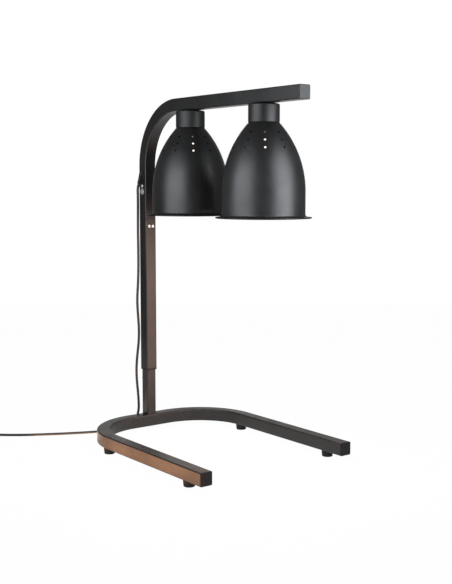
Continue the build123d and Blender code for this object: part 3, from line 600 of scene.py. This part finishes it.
@dataclass
class Studio:
    """Camera, soft lights, and pale paper that lies under the object and stands up behind it."""

    eye: Place = (-1.21438, -1.64105, 0.55492)
    yaw: float = 37.144
    pitch: float = 6.139
    lens: float = 62.333
    sensor: float = 36.0
    clip: tuple[float, float] = (0.05, 60.0)
    paper_near: float = 0.95
    paper_far: float = 2.6
    paper_near_left: float = 0.62
    paper_near_right: float = 0.36
    paper_far_half: float = 1.08
    paper_height: float = 1.45
    paper_tone: float = 0.86
    paper_white: float = 1.0
    floor_share: float = 0.985
    room_radius: float = 7.0
    room_sides: int = 96
    room_drop: float = 2.0 * MM
    room_tone: float = 0.16
    room_grey: float = 0.16
    surround: float = 0.10
    lights: tuple[FlatLight, ...] = (
        FlatLight(
            "left_softbox", (-0.657965, -0.051783, 0.66), (0.72, 0.64), 6.340608, COOL, 90.0, -85.5
        ),
        FlatLight(
            "right_softbox", (0.134033, -0.636031, 0.655), (0.42, 0.57), 5.84136, COOL, 90.0, 11.9
        ),
        FlatLight(
            "warm_side_card", (0.13426, -0.014111, 0.235), (0.20, 0.39), 1.248, (1.0, 0.62, 0.47),
            90.0, 84.0,
        ),
        FlatLight(
            "warm_floor_strip", (-0.29, -0.02, 0.4 * MM), (0.18, 0.52), 1.19808,
            (1.0, 0.41, 0.13), 180.0,
        ),
        FlatLight(
            "warm_floor_corner", (-0.175, 0.318, 0.4 * MM), (0.18, 0.075), 0.2106,
            (1.0, 0.56, 0.28), 180.0,
        ),
        FlatLight(
            "front_bulb_light", (0.0, -0.15555, 0.5065), (0.08, 0.08), 0.8, BULB,
            shape=LightShape.ROUND,
        ),
        FlatLight(
            "rear_bulb_light", (0.0, 0.08365, 0.5065), (0.08, 0.08), 0.8, BULB,
            shape=LightShape.ROUND,
        ),
    )

    def build(self) -> None:
        """Set the view, the surround, the paper and the lights."""
        bpy.context.scene.view_settings.view_transform = "Standard"
        self.build_camera()
        self.build_world()
        self.build_room_floor()
        self.build_paper_floor()
        self.build_paper_back()
        for light in self.lights:
            light.build()

    def build_camera(self) -> None:
        """Place the camera at the photograph's viewing angle."""
        data = bpy.data.cameras.new("view_camera")
        data.sensor_fit = "AUTO"
        data.sensor_width = self.sensor
        data.lens = self.lens
        data.clip_start, data.clip_end = self.clip
        camera = add_object("view_camera", data)
        camera.location = self.eye
        camera.rotation_euler = (math.radians(90.0 - self.pitch), 0.0, math.radians(-self.yaw))
        bpy.context.scene.camera = camera

    def build_world(self) -> None:
        """Make a dim even surround that shows as plain grey, as when a studio is unlit."""
        world = bpy.data.worlds.new("dim_surround")
        bpy.context.scene.world = world
        world.use_nodes = True
        sheet = NodeSheet(world.node_tree)
        sheet.add("dim", "Background", {"Color": WHITE, "Strength": self.surround})
        sheet.add("grey", "Background", {"Color": WHITE, "Strength": self.room_grey})
        self.lay_seen(sheet)
        sheet.add("mix", "MixShader", {0: "seen.0", 1: "dim.Background", 2: "grey.Background"})
        sheet.add("output", "OutputWorld", {"Surface": "mix.Shader"})

    def build_room_floor(self) -> None:
        """Lay the dim matt floor of the studio, just under the paper."""
        shape = bmesh.new()
        bmesh.ops.create_circle(
            shape, cap_ends=True, segments=self.room_sides, radius=self.room_radius
        )
        set_in_place(shape, (0.0, 0.0, -self.room_drop))
        self.add_stage("dim_room_floor", shape, self.room_tone, self.room_grey, 1.0)

    def build_paper_floor(self) -> None:
        """Lay the pale paper, widening away from the camera, with a soft shadow kept."""
        shape = bmesh.new()
        bmesh.ops.create_grid(shape, x_segments=1, y_segments=1, size=1.0)
        for corner in shape.verts:
            far = corner.co.y > 0.0
            near_half = self.paper_near_right if corner.co.x > 0.0 else self.paper_near_left
            corner.co.x *= self.paper_far_half if far else near_half
            corner.co.y *= self.paper_far if far else self.paper_near
        set_in_place(shape, ORIGIN, turned(-self.yaw, "Z"))
        self.add_stage(
            "pale_paper_floor", shape, self.paper_tone, self.paper_white, self.floor_share
        )

    def build_paper_back(self) -> None:
        """Stand the pale paper up behind the object, square to the camera."""
        shape = oblong(2 * self.paper_far_half, self.paper_height)
        set_in_place(shape, (0.0, self.paper_far, self.paper_height / 2), turned(90.0, "X"))
        set_in_place(shape, ORIGIN, turned(-self.yaw, "Z"))
        self.add_stage("pale_paper_back", shape, self.paper_tone, self.paper_white, 1.0)

    def add_stage(self, name: str, shape: Shape, tone: float, shown: float, share: float) -> None:
        """Add a matt stage surface that shows one plain grey or white, straight or mirrored.

        Its back is clear, so that it hides nothing from a camera that stands behind or under it.

        Args:
            name: Name of the surface and of its material.
            shape: Its shape, which is freed.
            tone: Its own grey, as light falls on it.
            shown: Strength of the plain grey, where 1 is white.
            share: How much of what is seen is plain, the rest being lit and shadowed.
        """
        material = bpy.data.materials.new(name)
        material.use_nodes = True
        sheet = NodeSheet(material.node_tree)
        self.lay_seen(sheet)
        sheet.add("part", "Math", {0: "seen.0", 1: share}, operation="MULTIPLY")
        sheet.add("matt", "BsdfDiffuse", {"Color": (tone, tone, tone, 1.0)})
        sheet.add("plain", "Emission", {"Color": WHITE, "Strength": shown})
        sheet.add("front", "MixShader", {0: "part.0", 1: "matt.BSDF", 2: "plain.Emission"})
        sheet.add("face", "NewGeometry")
        sheet.add("clear", "BsdfTransparent")
        sheet.add("both", "MixShader", {0: "face.Backfacing", 1: "front.Shader", 2: "clear.BSDF"})
        sheet.add("output", "OutputMaterial", {"Surface": "both.Shader"})
        add_object(name, mesh_of(name, shape, material))

    def lay_seen(self, sheet: NodeSheet) -> None:
        """Lay the mask "seen", 1 for what is seen straight, mirrored or through glass.

        Args:
            sheet: Nodes to add to.
        """
        sheet.add("path", "LightPath")
        direct = {0: "path.Is Camera Ray", 1: "path.Is Glossy Ray"}
        every = {0: "direct.0", 1: "path.Is Transmission Ray"}
        sheet.add("direct", "Math", direct, operation="ADD")
        sheet.add("seen", "Math", every, operation="ADD", use_clamp=True)


def add_object(name: str, data: bpy.types.ID) -> Piece:
    """Add an object to the scene.

    Args:
        name: Its name.
        data: Its mesh, curve, light or camera.

    Returns:
        The object.
    """
    item = bpy.data.objects.new(name, data)
    bpy.context.scene.collection.objects.link(item)
    return item


def mesh_of(name: str, shape: Shape, material: bpy.types.Material) -> bpy.types.Mesh:
    """Turn a shape into a mesh.

    Args:
        name: Name of the mesh.
        shape: The shape, which is freed.
        material: Material that it wears.

    Returns:
        The mesh.
    """
    mesh = bpy.data.meshes.new(name)
    shape.to_mesh(mesh)
    shape.free()
    mesh.materials.append(material)
    return mesh


def turned(degrees: float, axis: str) -> Matrix:
    """Give a turn about one of the axes."""
    return Matrix.Rotation(math.radians(degrees), 3, axis)


def set_in_place(shape: Shape, place: Iterable[float], turn: Matrix = Matrix.Identity(3)) -> None:
    """Turn a shape about the origin, then carry it to its place."""
    bmesh.ops.rotate(shape, matrix=turn, verts=shape.verts)
    bmesh.ops.translate(shape, vec=place, verts=shape.verts)


def block(*size: float) -> Shape:
    """Make a plain block about the origin.

    Args:
        size: Its sizes along X, Y and Z.

    Returns:
        The block.
    """
    shape = bmesh.new()
    bmesh.ops.create_cube(shape, size=1.0, matrix=Matrix.Diagonal((*size, 1.0)))
    return shape


def oblong(*size: float) -> Shape:
    """Make one flat face about the origin, looking up.

    Args:
        size: Its sizes along X and Y.

    Returns:
        The face.
    """
    shape, spread = bmesh.new(), Matrix.Diagonal((*size, 1.0, 1.0))
    bmesh.ops.create_grid(shape, x_segments=1, y_segments=1, size=0.5, matrix=spread)
    return shape


def turn_outline(outline: Outline, steps: int = 40) -> Shape:
    """Spin half of an outline a full turn about the upright axis and close it.

    Args:
        outline: Radius and height of each point.
        steps: Faces round the shape.

    Returns:
        A closed shape about the Z axis.
    """
    shape = bmesh.new()
    line = [shape.verts.new((radius, 0.0, height)) for radius, height in outline]
    edges = [shape.edges.new(pair) for pair in zip(line, line[1:])]
    turn = {"cent": ORIGIN, "axis": (0.0, 0.0, 1.0), "angle": math.tau, "steps": steps}
    bmesh.ops.spin(shape, geom=line + edges, use_merge=True, **turn)
    bmesh.ops.remove_doubles(shape, verts=shape.verts, dist=MERGE)
    bmesh.ops.recalc_face_normals(shape, faces=shape.faces)
    return shape


def edges_along(shape: Shape, axis: int) -> list[Edge]:
    """Find the edges of a block that run along an axis, 0 for X or 1 for Y."""
    ends = {edge: [vertex.co[axis] for vertex in edge.verts] for edge in shape.edges}
    return [edge for edge, (start, end) in ends.items() if abs(start - end) > MERGE]


def soften(shape: Shape, edges: list[Edge], reach: float, steps: int) -> None:
    """Round edges with a bevel.

    Args:
        shape: Shape that has the edges.
        edges: Edges to round.
        reach: How far from each edge the rounding starts.
        steps: Faces across the rounding.
    """
    bmesh.ops.bevel(
        shape, geom=edges, offset=reach, segments=steps, profile=0.5, affect="EDGES", material=-1
    )


def slice_through(shape: Shape, x: float, clear: bool = False) -> None:
    """Cut a shape along a plane square to X.

    Args:
        shape: Shape to cut.
        x: Where the plane stands.
        clear: Whether what lies past the plane is taken away.
    """
    whole = shape.verts[:] + shape.edges[:] + shape.faces[:]
    at, way = (x, 0.0, 0.0), (1.0, 0.0, 0.0)
    bmesh.ops.bisect_plane(
        shape, geom=whole, dist=MERGE, plane_co=at, plane_no=way, clear_outer=clear
    )


def press(shape: Shape, faces: list[Face], taper: float, depth: float) -> None:
    """Sink a patch of faces.

    Args:
        shape: Shape that has the faces.
        faces: The patch.
        taper: How much the patch narrows on every side.
        depth: How deep it sinks.
    """
    bmesh.ops.inset_region(
        shape, faces=faces, thickness=taper, depth=-depth, use_boundary=True, use_even_offset=True
    )


def joined(shape: Shape, *others: Shape) -> Shape:
    """Put shapes together.

    Args:
        shape: Shape that takes in the others.
        others: Shapes that are added in their order, and freed.

    Returns:
        The first shape.
    """
    carrier = bpy.data.meshes.new("carrier")
    for other in others:
        other.to_mesh(carrier)
        other.free()
        shape.from_mesh(carrier)
    bpy.data.meshes.remove(carrier)
    return shape


@dataclass(frozen=True)
class RibbedTaper:
    """Round taper with ring grooves, measured from its tip."""

    length: float
    tip: float
    root: float
    rib_count: int
    first_rib: float
    rib_pitch: float
    groove_width: float
    groove_depth: float
    groove_slope: float

    def grooves(self) -> Outline:
        """Give the outline of the grooves.

        Returns:
            Radius and height of each point, from the tip up.
        """
        points: Outline = []
        for rib in range(self.rib_count):
            start = self.first_rib + rib * self.rib_pitch
            end = start + self.groove_width
            points += [
                (self.radius_at(start), start),
                (self.radius_at(start) - self.groove_depth, start + self.groove_slope),
                (self.radius_at(end) - self.groove_depth, end - self.groove_slope),
                (self.radius_at(end), end),
            ]
        return points

    def radius_at(self, height: float) -> float:
        """Give the radius at a distance from the tip."""
        return self.tip + (self.root - self.tip) * height / self.length


@dataclass(frozen=True)
class PanScrew:
    """Pan-head screw with a cross recess, seated on a flat face."""

    seat: Place
    facing: Facing
    angle: float
    head_radius: float = 3.9 * MM
    head_height: float = 2.8 * MM
    brim: float = 0.9 * MM
    under_share: float = 0.985
    shank_radius: float = 2.0 * MM
    shank_length: float = 8.0 * MM
    point_share: float = 0.5
    recess_half: float = 0.5 * MM
    recess_reach: float = 2.0 * MM
    recess_depth: float = 1.4 * MM
    recess_taper: float = 0.18 * MM
    crown_share: float = 0.8

    dome: ClassVar[tuple[tuple[float, float], ...]] = (
        (0.0, 1.0), (0.45, 0.985), (0.72, 0.90), (0.90, 0.72), (0.985, 0.50),
    )

    def model(self) -> Shape:
        """Turn the screw, press its recess and set it on its seat.

        Returns:
            The screw in its place.
        """
        shank, point = self.shank_radius, self.point_share * self.shank_radius
        outline = [(across * self.head_radius, up * self.head_height) for across, up in self.dome]
        outline += [
            (self.head_radius, self.brim),
            (self.under_share * self.head_radius, 0.0),
            (shank, 0.0),
            (shank, -self.shank_length + point),
            (point, -self.shank_length),
            (0.0, -self.shank_length),
        ]
        shape = turn_outline(outline)
        self.press_recess(shape)
        set_in_place(shape, self.seat, self.facing.turn() @ turned(self.angle, "Z"))
        return shape

    def press_recess(self, shape: Shape) -> None:
        """Cut the head's crown along the sides of a cross and sink the cross.

        Args:
            shape: The turned screw, its axis on Z.
        """
        reaches = (-self.recess_reach, -self.recess_half, self.recess_half, self.recess_reach)
        for across in (Vector((1.0, 0.0, 0.0)), Vector((0.0, 1.0, 0.0))):
            for reach in reaches:
                crown = [face for face in shape.faces if self.on_crown(face)]
                edges = {edge for face in crown for edge in face.edges}
                ends = {vertex for face in crown for vertex in face.verts}
                cut = crown + list(edges) + list(ends)
                bmesh.ops.bisect_plane(
                    shape, geom=cut, dist=MERGE, plane_co=across * reach, plane_no=across
                )
        cross = [face for face in shape.faces if self.on_crown(face) and self.in_cross(face)]
        press(shape, cross, self.recess_taper, self.recess_depth)

    def on_crown(self, face: Face) -> bool:
        """Tell whether a face lies on the top of the head."""
        return face.calc_center_median().z > self.crown_share * self.head_height

    def in_cross(self, face: Face) -> bool:
        """Tell whether a face lies within the arms of the cross.

        Args:
            face: Face of the turned screw, its axis on Z.

        Returns:
            True for a face of the cross.
        """
        middle = face.calc_center_median()
        near, far = sorted((abs(middle.x), abs(middle.y)))
        return near < self.recess_half and far < self.recess_reach


@dataclass(frozen=True)
class StrainRelief:
    """Moulded strain relief: a rounded flange and a ribbed sleeve that leads the cord down."""

    middle_z: float = 568.5 * MM
    flange_thickness: float = 2.5 * MM
    flange_width: float = 17.0 * MM
    flange_height: float = 20.0 * MM
    flange_corner: float = 6.0 * MM
    corner_steps: int = 8
    edge: float = 0.8 * MM
    edge_steps: int = 3
    stem_radius: float = 4.9 * MM
    stem_length: float = 7.2 * MM
    tip: Place = (-22.5 * MM, POST_Y, 553.0 * MM)
    tilt: float = 20.0
    ribs: RibbedTaper = RibbedTaper(
        length=27.0 * MM, tip=3.5 * MM, root=6.2 * MM, rib_count=4, first_rib=9.5 * MM,
        rib_pitch=2.9 * MM, groove_width=1.4 * MM, groove_depth=0.8 * MM, groove_slope=0.3 * MM,
    )

    def model(self) -> Shape:
        """Put flange, stem and sleeve together in their place."""
        return joined(self.flange(), self.stem(), self.sleeve())

    def flange(self) -> Shape:
        """Round a thin block into the flange on the arm's left face.

        Returns:
            The flange in its place.
        """
        shape = block(self.flange_thickness, self.flange_width, self.flange_height)
        soften(shape, edges_along(shape, 0), self.flange_corner, self.corner_steps)
        outer = max(shape.faces, key=lambda face: -face.calc_center_median().x)
        soften(shape, list(outer.edges), self.edge, self.edge_steps)
        set_in_place(shape, (LEFT_FACE - self.flange_thickness / 2, POST_Y, self.middle_z))
        return shape

    def stem(self) -> Shape:
        """Turn the stem that goes through the arm's wall.

        Returns:
            The stem in its place.
        """
        radius, length = self.stem_radius, self.stem_length
        outline = [(0.0, 0.0), (radius, 0.0), (radius, length - self.edge)]
        shape = turn_outline(outline + [(radius - self.edge, length), (0.0, length)])
        set_in_place(shape, (LEFT_FACE, POST_Y, self.middle_z), turned(90.0, "Y"))
        return shape

    def sleeve(self) -> Shape:
        """Turn the ribbed sleeve, lean it out and trim it flush with the arm's face.

        Returns:
            The sleeve in its place.
        """
        ribs = self.ribs
        outline = [(0.0, 0.0), (ribs.tip - self.edge, 0.0), (ribs.tip, self.edge)]
        outline += [*ribs.grooves(), (ribs.root, ribs.length), (0.0, ribs.length)]
        shape = turn_outline(outline)
        set_in_place(shape, self.tip, turned(self.tilt, "Y"))
        slice_through(shape, LEFT_FACE, clear=True)
        rim = [edge for edge in shape.edges if edge.is_boundary]
        bmesh.ops.holes_fill(shape, edges=rim, sides=0)
        return shape


@dataclass(frozen=True)
class TieStrap:
    """Hook-and-loop strap closed round the coil, with its free end standing off the top."""

    width: float = 9.0 * MM
    thickness: float = 1.0 * MM
    loop_width: float = 21.54 * MM
    loop_height: float = 14.2 * MM
    corner: float = 3.0 * MM
    corner_steps: int = 6
    lap_length: float = 11.0 * MM
    lap_lifts: tuple[float, ...] = (0.0, 0.35 * MM, 1.1 * MM)

    def model(self) -> Shape:
        """Lay the free end over the loop, about the origin and with the width along Y."""
        return joined(self.loop(), self.free_end())

    def loop(self) -> Shape:
        """Open a block into a band with round corners and give it its thickness.

        Returns:
            The closed loop.
        """
        shape = block(self.loop_width, self.width, self.loop_height)
        open_sides = [face for face in shape.faces if abs(face.normal.y) > SQUARE_ON]
        bmesh.ops.delete(shape, geom=open_sides, context="FACES_ONLY")
        soften(shape, edges_along(shape, 1), self.corner, self.corner_steps)
        bmesh.ops.recalc_face_normals(shape, faces=shape.faces)
        bmesh.ops.solidify(shape, geom=shape.faces[:], thickness=self.thickness)
        return shape

    def free_end(self) -> Shape:
        """Draw out the free end from a short strip, each fold rising a little more.

        Returns:
            The free end on top of the loop.
        """
        half = self.lap_length / 2
        shape = oblong(half, self.width)
        for lift in self.lap_lifts:
            tail = max(shape.edges, key=lambda edge: min(vertex.co.x for vertex in edge.verts))
            drawn = bmesh.ops.extrude_edge_only(shape, edges=[tail])["geom"]
            moved = [item for item in drawn if isinstance(item, bmesh.types.BMVert)]
            bmesh.ops.translate(shape, vec=(half / len(self.lap_lifts), 0.0, lift), verts=moved)
        shape.normal_update()
        bmesh.ops.reverse_faces(shape, faces=[face for face in shape.faces if face.normal.z < 0.0])
        bmesh.ops.solidify(shape, geom=shape.faces[:], thickness=self.thickness)
        set_in_place(shape, (-half / 2, 0.0, self.loop_height / 2 + self.thickness))
        return shape


@dataclass(frozen=True)
class MouldedPlug:
    """Moulded plug body with a ribbed grip and finger grooves; its cord comes in along X."""

    ribs: RibbedTaper = RibbedTaper(
        length=20.0 * MM, tip=3.55 * MM, root=5.5 * MM, rib_count=5, first_rib=2.2 * MM,
        rib_pitch=3.2 * MM, groove_width=1.4 * MM, groove_depth=0.6 * MM, groove_slope=0.35 * MM,
    )
    body_length: float = 36.0 * MM
    body_width: float = 25.0 * MM
    body_height: float = 20.3 * MM
    body_taper: float = 0.75
    edge: float = 3.5 * MM
    edge_steps: int = 6
    groove_count: int = 4
    first_groove: float = 7.0 * MM
    groove_pitch: float = 4.2 * MM
    groove_width: float = 2.2 * MM
    groove_taper: float = 0.3 * MM
    groove_depth: float = 0.7 * MM

    def model(self) -> Shape:
        """Put the body and the grip together, from the cord's end at the origin along +X."""
        return joined(self.body(), self.grip())

    def grip(self) -> Shape:
        """Turn the ribbed grip and lay it along X.

        Returns:
            The grip.
        """
        ribs, end = self.ribs, self.ribs.length + self.edge
        outline = [(0.0, 0.0), (ribs.tip, 0.0)] + ribs.grooves()
        shape = turn_outline(outline + [(ribs.root, ribs.length), (ribs.root, end), (0.0, end)])
        set_in_place(shape, ORIGIN, turned(90.0, "Y"))
        return shape

    def body(self) -> Shape:
        """Taper and round a block, then press the finger grooves into its sides.

        Returns:
            The body.
        """
        shape = block(self.body_length, self.body_width, self.body_height)
        rear = [vertex for vertex in shape.verts if vertex.co.x < 0.0]
        bmesh.ops.scale(shape, vec=(1.0, self.body_taper, self.body_taper), verts=rear)
        soften(shape, shape.edges[:], self.edge, self.edge_steps)
        set_in_place(shape, (self.ribs.length + self.body_length / 2, 0.0, 0.0))
        first = self.ribs.length + self.first_groove
        starts = [first + groove * self.groove_pitch for groove in range(self.groove_count)]
        for start in starts:
            slice_through(shape, start)
            slice_through(shape, start + self.groove_width)
        for start in starts:
            for side in (-1.0, 1.0):
                groove = [
                    face
                    for face in shape.faces
                    if face.normal.y * side > SQUARE_ON
                    and start < face.calc_center_median().x < start + self.groove_width
                ]
                press(shape, groove, self.groove_taper, self.groove_depth)
        return shape


@dataclass
class SubAssembly:
    """Pieces that belong together: carried-over nodes get a finish, and new pieces are added."""

    frame: dict[str, Any]

    carried: ClassVar[tuple[str, ...]] = ()
    smooth_limit: ClassVar[float] = 32.0

    def build(self) -> None:
        """Dress every carried-over node."""
        for name in self.carried:
            self.dress(name)

    def dress(self, name: str) -> None:
        """Give a node the finish of its material slot.

        Args:
            name: Name of the node.
        """
        finish = self.finish_of(name)
        mesh = self.frame["nodes"][name].data
        mesh.materials.clear()
        mesh.materials.append(finish.material())
        LOG.info("%s: %s", name, finish.name)

    def finish_of(self, name: str) -> Finish:
        """Find the finish that belongs to a node's material slot."""
        slots = {part["node"]: part["material_slot"] for part in self.frame["record"]["subparts"]}
        return BY_SLOT[slots[name]]

    def add_piece(self, name: str, shape: Shape, body: Body, node: str) -> Piece:
        """Make a shape a piece that stands for a node and wears its finish.

        Args:
            name: Name of the new piece.
            shape: Its shape in its place, which is freed.
            body: Body that it rides on.
            node: Node that it stands for.

        Returns:
            The piece.
        """
        finish = self.finish_of(node)
        mesh = mesh_of(name, shape, finish.material())
        for face in mesh.polygons:
            face.use_smooth = True
        mesh.set_sharp_from_angle(angle=math.radians(self.smooth_limit))
        piece = add_object(name, mesh)
        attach(piece, body.value)
        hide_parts(node)
        LOG.info("%s: %d faces, %s", name, len(mesh.polygons), finish.name)
        return piece


@dataclass
class Base(SubAssembly):
    """U-shaped base of square tube on four rubber feet, with the stub that the post stands on."""

    carried = (
        "base_frame", "base_end_cap_left", "base_end_cap_right", "foot_front_left",
        "foot_front_right", "foot_rear_left", "foot_rear_right", "foot_screws", "post_stub",
        "stub_nut", "post_thumbscrew",
    )


@dataclass
class Post(SubAssembly):
    """Telescopic post: slim lower tube, outer tube with bush and clamp, and the joint's screws."""

    joint_z: float = 461.4 * MM
    screw_x: float = 4.45 * MM
    screw_turns: tuple[float, float] = (18.0, 62.0)

    carried = (
        "lower_post", "upper_guide", "outer_post", "guide_bush", "clamp_boss", "clamp_screw",
        "arm_joiner",
    )

    def build(self) -> None:
        """Dress the tubes and fit the two screws of the joint."""
        super().build()
        screws = []
        for side, angle in zip((-1.0, 1.0), self.screw_turns):
            seat = (side * self.screw_x, FRONT_FACE, self.joint_z)
            screws.append(PanScrew(seat, Facing.FRONT, angle).model())
        self.add_piece("joint_pan_screws", joined(*screws), Body.ARM, "joiner_screws")


@dataclass
class Arm(SubAssembly):
    """Bent arm with its end cap, wiring, switch, earth screw and strain relief."""

    earth_seat: Place = (LEFT_FACE, POST_Y, 549.4 * MM)
    earth_angle: float = 33.0

    carried = (
        "arm_tube", "arm_end_cap", "arm_wiring", "switch_body", "switch_nut", "switch_button",
        "earth_nut",
    )

    def build(self) -> None:
        """Dress the arm and fit the earth screw and the strain relief."""
        super().build()
        screw = PanScrew(self.earth_seat, Facing.LEFT, self.earth_angle)
        self.add_piece("earth_pan_screw", screw.model(), Body.ARM, "earth_screw")
        self.add_piece("ribbed_strain_relief", StrainRelief().model(), Body.ARM, "strain_relief")


@dataclass
class Lamp(SubAssembly):
    """One lamp under the arm: spacer, neck cup, holder, bulb and spun shade."""

    place: LampPlace = LampPlace.FRONT

    members: ClassVar[tuple[str, ...]] = (
        "spacer", "neck_cup", "nipple", "lock_nut", "lampholder", "shade_ring", "shade",
        "bulb_cap", "bulb_glass",
    )

    def build(self) -> None:
        """Dress the lamp's nodes."""
        for member in self.members:
            self.dress(f"{self.place.value}_{member}")

    def finish_of(self, name: str) -> Finish:
        """Give the neck cup its duller finish, and every other node that of its slot."""
        return BY_SLOT["neck_coat"] if name.endswith("neck_cup") else super().finish_of(name)


@dataclass
class MainsLead(SubAssembly):
    """Mains cord from the strain relief to the plug, with the spare length in a tied coil."""

    diameter: float = 5.5 * MM
    relief: StrainRelief = StrainRelief()
    first_run: float = 8.5 * MM
    coil_entry: tuple[float, float] = (-330.0 * MM, 174.5 * MM)
    coil_heading: float = 145.0
    coil_lead: float = 36.0 * MM
    coil_end_run: float = 28.0 * MM
    coil_z: float = 4.05 * MM
    coil_outer: float = 38.5 * MM
    coil_turn: float = 6.1 * MM
    half_turns_in: int = 5
    half_turns_out: int = 4
    points_per_half_turn: int = 7
    strap_from_coil_middle: float = 31.78 * MM
    still_z: float = 0.06
    lifted_z: float = 0.53
    steps_per_point: int = 8
    round_steps: int = 5

    carried = ("plug_pins",)
    run: ClassVar[tuple[Place, ...]] = (
        (-24.5, 0.4, 529.0), (-24.3, 0.9, 498.0), (-24.6, 1.4, 455.0), (-23.7, 1.9, 411.0),
        (-23.5, 2.4, 371.0), (-24.4, 3.0, 336.0), (-26.5, 3.6, 307.0), (-26.2, 4.1, 284.0),
        (-23.8, 4.7, 258.0), (-21.6, 5.4, 230.0), (-22.2, 6.2, 203.0), (-25.4, 7.5, 174.0),
        (-27.0, 9.4, 146.0), (-24.4, 12.6, 117.0), (-19.0, 16.8, 90.0), (-14.2, 21.5, 65.0),
        (-11.8, 25.2, 42.0), (-18.0, 29.5, 20.0), (-35.0, 34.0, 7.0), (-58.0, 38.5, 2.75),
        (-83.0, 42.5, 2.75), (-108.0, 49.0, 2.75), (-143.0, 63.0, 2.75), (-183.0, 82.0, 2.75),
        (-224.0, 104.0, 2.75), (-265.0, 129.5, 2.75),
    )

    def build(self) -> None:
        """Dress the pins, then make the strap, the plug and the cord that they sit on."""
        super().build()
        route = self.route()
        middle = self.coil_start() + self.across() * self.coil_outer
        middle += self.ahead() * (self.diameter + self.strap_from_coil_middle)
        middle.z += self.coil_turn / 2
        strap = self.lay_along_coil("coil_strap", TieStrap().model(), middle, "coil_tie")
        plug = self.lay_along_coil("moulded_plug", MouldedPlug().model(), route[-1], "plug_body")
        self.build_cord(route, [strap, plug, self.frame["nodes"]["plug_pins"]])

    def ahead(self) -> Vector:
        """Give the way that the cord runs into the coil and out of it again."""
        turn = math.radians(self.coil_heading)
        return Vector((math.cos(turn), math.sin(turn), 0.0))

    def across(self) -> Vector:
        """Give the way from the coil's entry to its middle."""
        ahead = self.ahead()
        return Vector((-ahead.y, ahead.x, 0.0))

    def coil_start(self) -> Vector:
        """Give the point where the coil's first turn begins to run level."""
        return Vector((self.coil_entry[0], POST_Y + self.coil_entry[1], self.coil_z))

    def route(self) -> list[Vector]:
        """Give the control points of the whole cord, from the strain relief to the plug.

        Returns:
            Points in metres.
        """
        tilt = math.radians(self.relief.tilt)
        leaves = Vector(self.relief.tip)
        points = [leaves, leaves + Vector((-math.sin(tilt), 0.0, -math.cos(tilt))) * self.first_run]
        for x, y, z in self.run:
            points.append(Vector((x * MM, POST_Y + y * MM, z * MM)))
        return points + self.coil()

    def coil(self) -> list[Vector]:
        """Give the control points of the coil: in on the floor, up a layer, and out on top.

        Returns:
            Points in metres.
        """
        ahead, across, start = self.ahead(), self.across(), self.coil_start()
        points = [start - ahead * self.coil_lead, start]
        spot = start + ahead * self.diameter
        radius = self.coil_outer
        step = math.pi / self.points_per_half_turn
        for half_turn in range(self.half_turns_in + 1 + self.half_turns_out):
            climb = self.coil_turn if half_turn == self.half_turns_in else 0.0
            reach = radius / math.cos(step / 2)
            for k in range(self.points_per_half_turn):
                angle = (k + 0.5) * step
                point = spot + ahead * reach * math.sin(angle)
                point += across * (radius - reach * math.cos(angle))
                point.z += climb * angle / math.pi
                points.append(point)
            spot = spot + across * 2 * radius + Vector((0.0, 0.0, climb))
            ahead, across = -ahead, -across
            radius += -self.coil_turn / 2 if half_turn < self.half_turns_in else self.coil_turn / 2
        points.append(spot + ahead * self.coil_end_run)
        return points

    def lay_along_coil(self, name: str, shape: Shape, middle: Vector, node: str) -> Piece:
        """Turn a shape's X along the coil, put its origin in its place and make it a piece."""
        set_in_place(shape, middle, turned(self.coil_heading, "Z"))
        return self.add_piece(name, shape, Body.BASE, node)

    def build_cord(self, route: list[Vector], pieces_on_it: list[Piece]) -> None:
        """Make the cord as a mesh tube along one smooth spline.

        Args:
            route: Control points of the spline.
            pieces_on_it: Strap, plug and pins; not used.
        """
        finish = self.finish_of("cord_hanging")
        line = bpy.data.curves.new("mains_cord_line", "CURVE")
        line.dimensions = "3D"
        spline = line.splines.new("NURBS")
        spline.points.add(len(route) - 1)
        for point, spot in zip(spline.points, route):
            point.co = (*spot, 1.0)
        spline.order_u = 3
        spline.use_endpoint_u = True
        spline.resolution_u = self.steps_per_point
        holder = add_object("mains_cord_line", line)
        bare = self.evaluated(holder)
        line.bevel_depth = self.diameter / 2
        line.bevel_resolution = self.round_steps
        line.use_fill_caps = True
        tube = self.evaluated(holder)
        bpy.data.objects.remove(holder)
        bpy.data.meshes.remove(bare)
        for face in tube.polygons:
            face.use_smooth = True
        tube.materials.clear()
        tube.materials.append(finish.material())
        cord = add_object("mains_cord", tube)
        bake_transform(cord)
        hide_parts("cord_hanging", "cord_floor", "cord_coil")

    def evaluated(self, holder: Piece) -> bpy.types.Mesh:
        """Read a curve as a new mesh.

        Args:
            holder: Object of the curve.

        Returns:
            The mesh.
        """
        bpy.context.view_layer.update()
        graph = bpy.context.evaluated_depsgraph_get()
        return bpy.data.meshes.new_from_object(holder.evaluated_get(graph))


def main() -> None:
    """Build the heat lamp's looks in order."""
    logging.basicConfig(level=logging.INFO, format="%(name)s: %(message)s")
    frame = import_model()
    Studio().build()
    for assembly in (MainsLead, Base, Post, Arm):
        assembly(frame).build()
    for place in LampPlace:
        Lamp(frame, place).build()


if __name__ == "__main__":
    main()
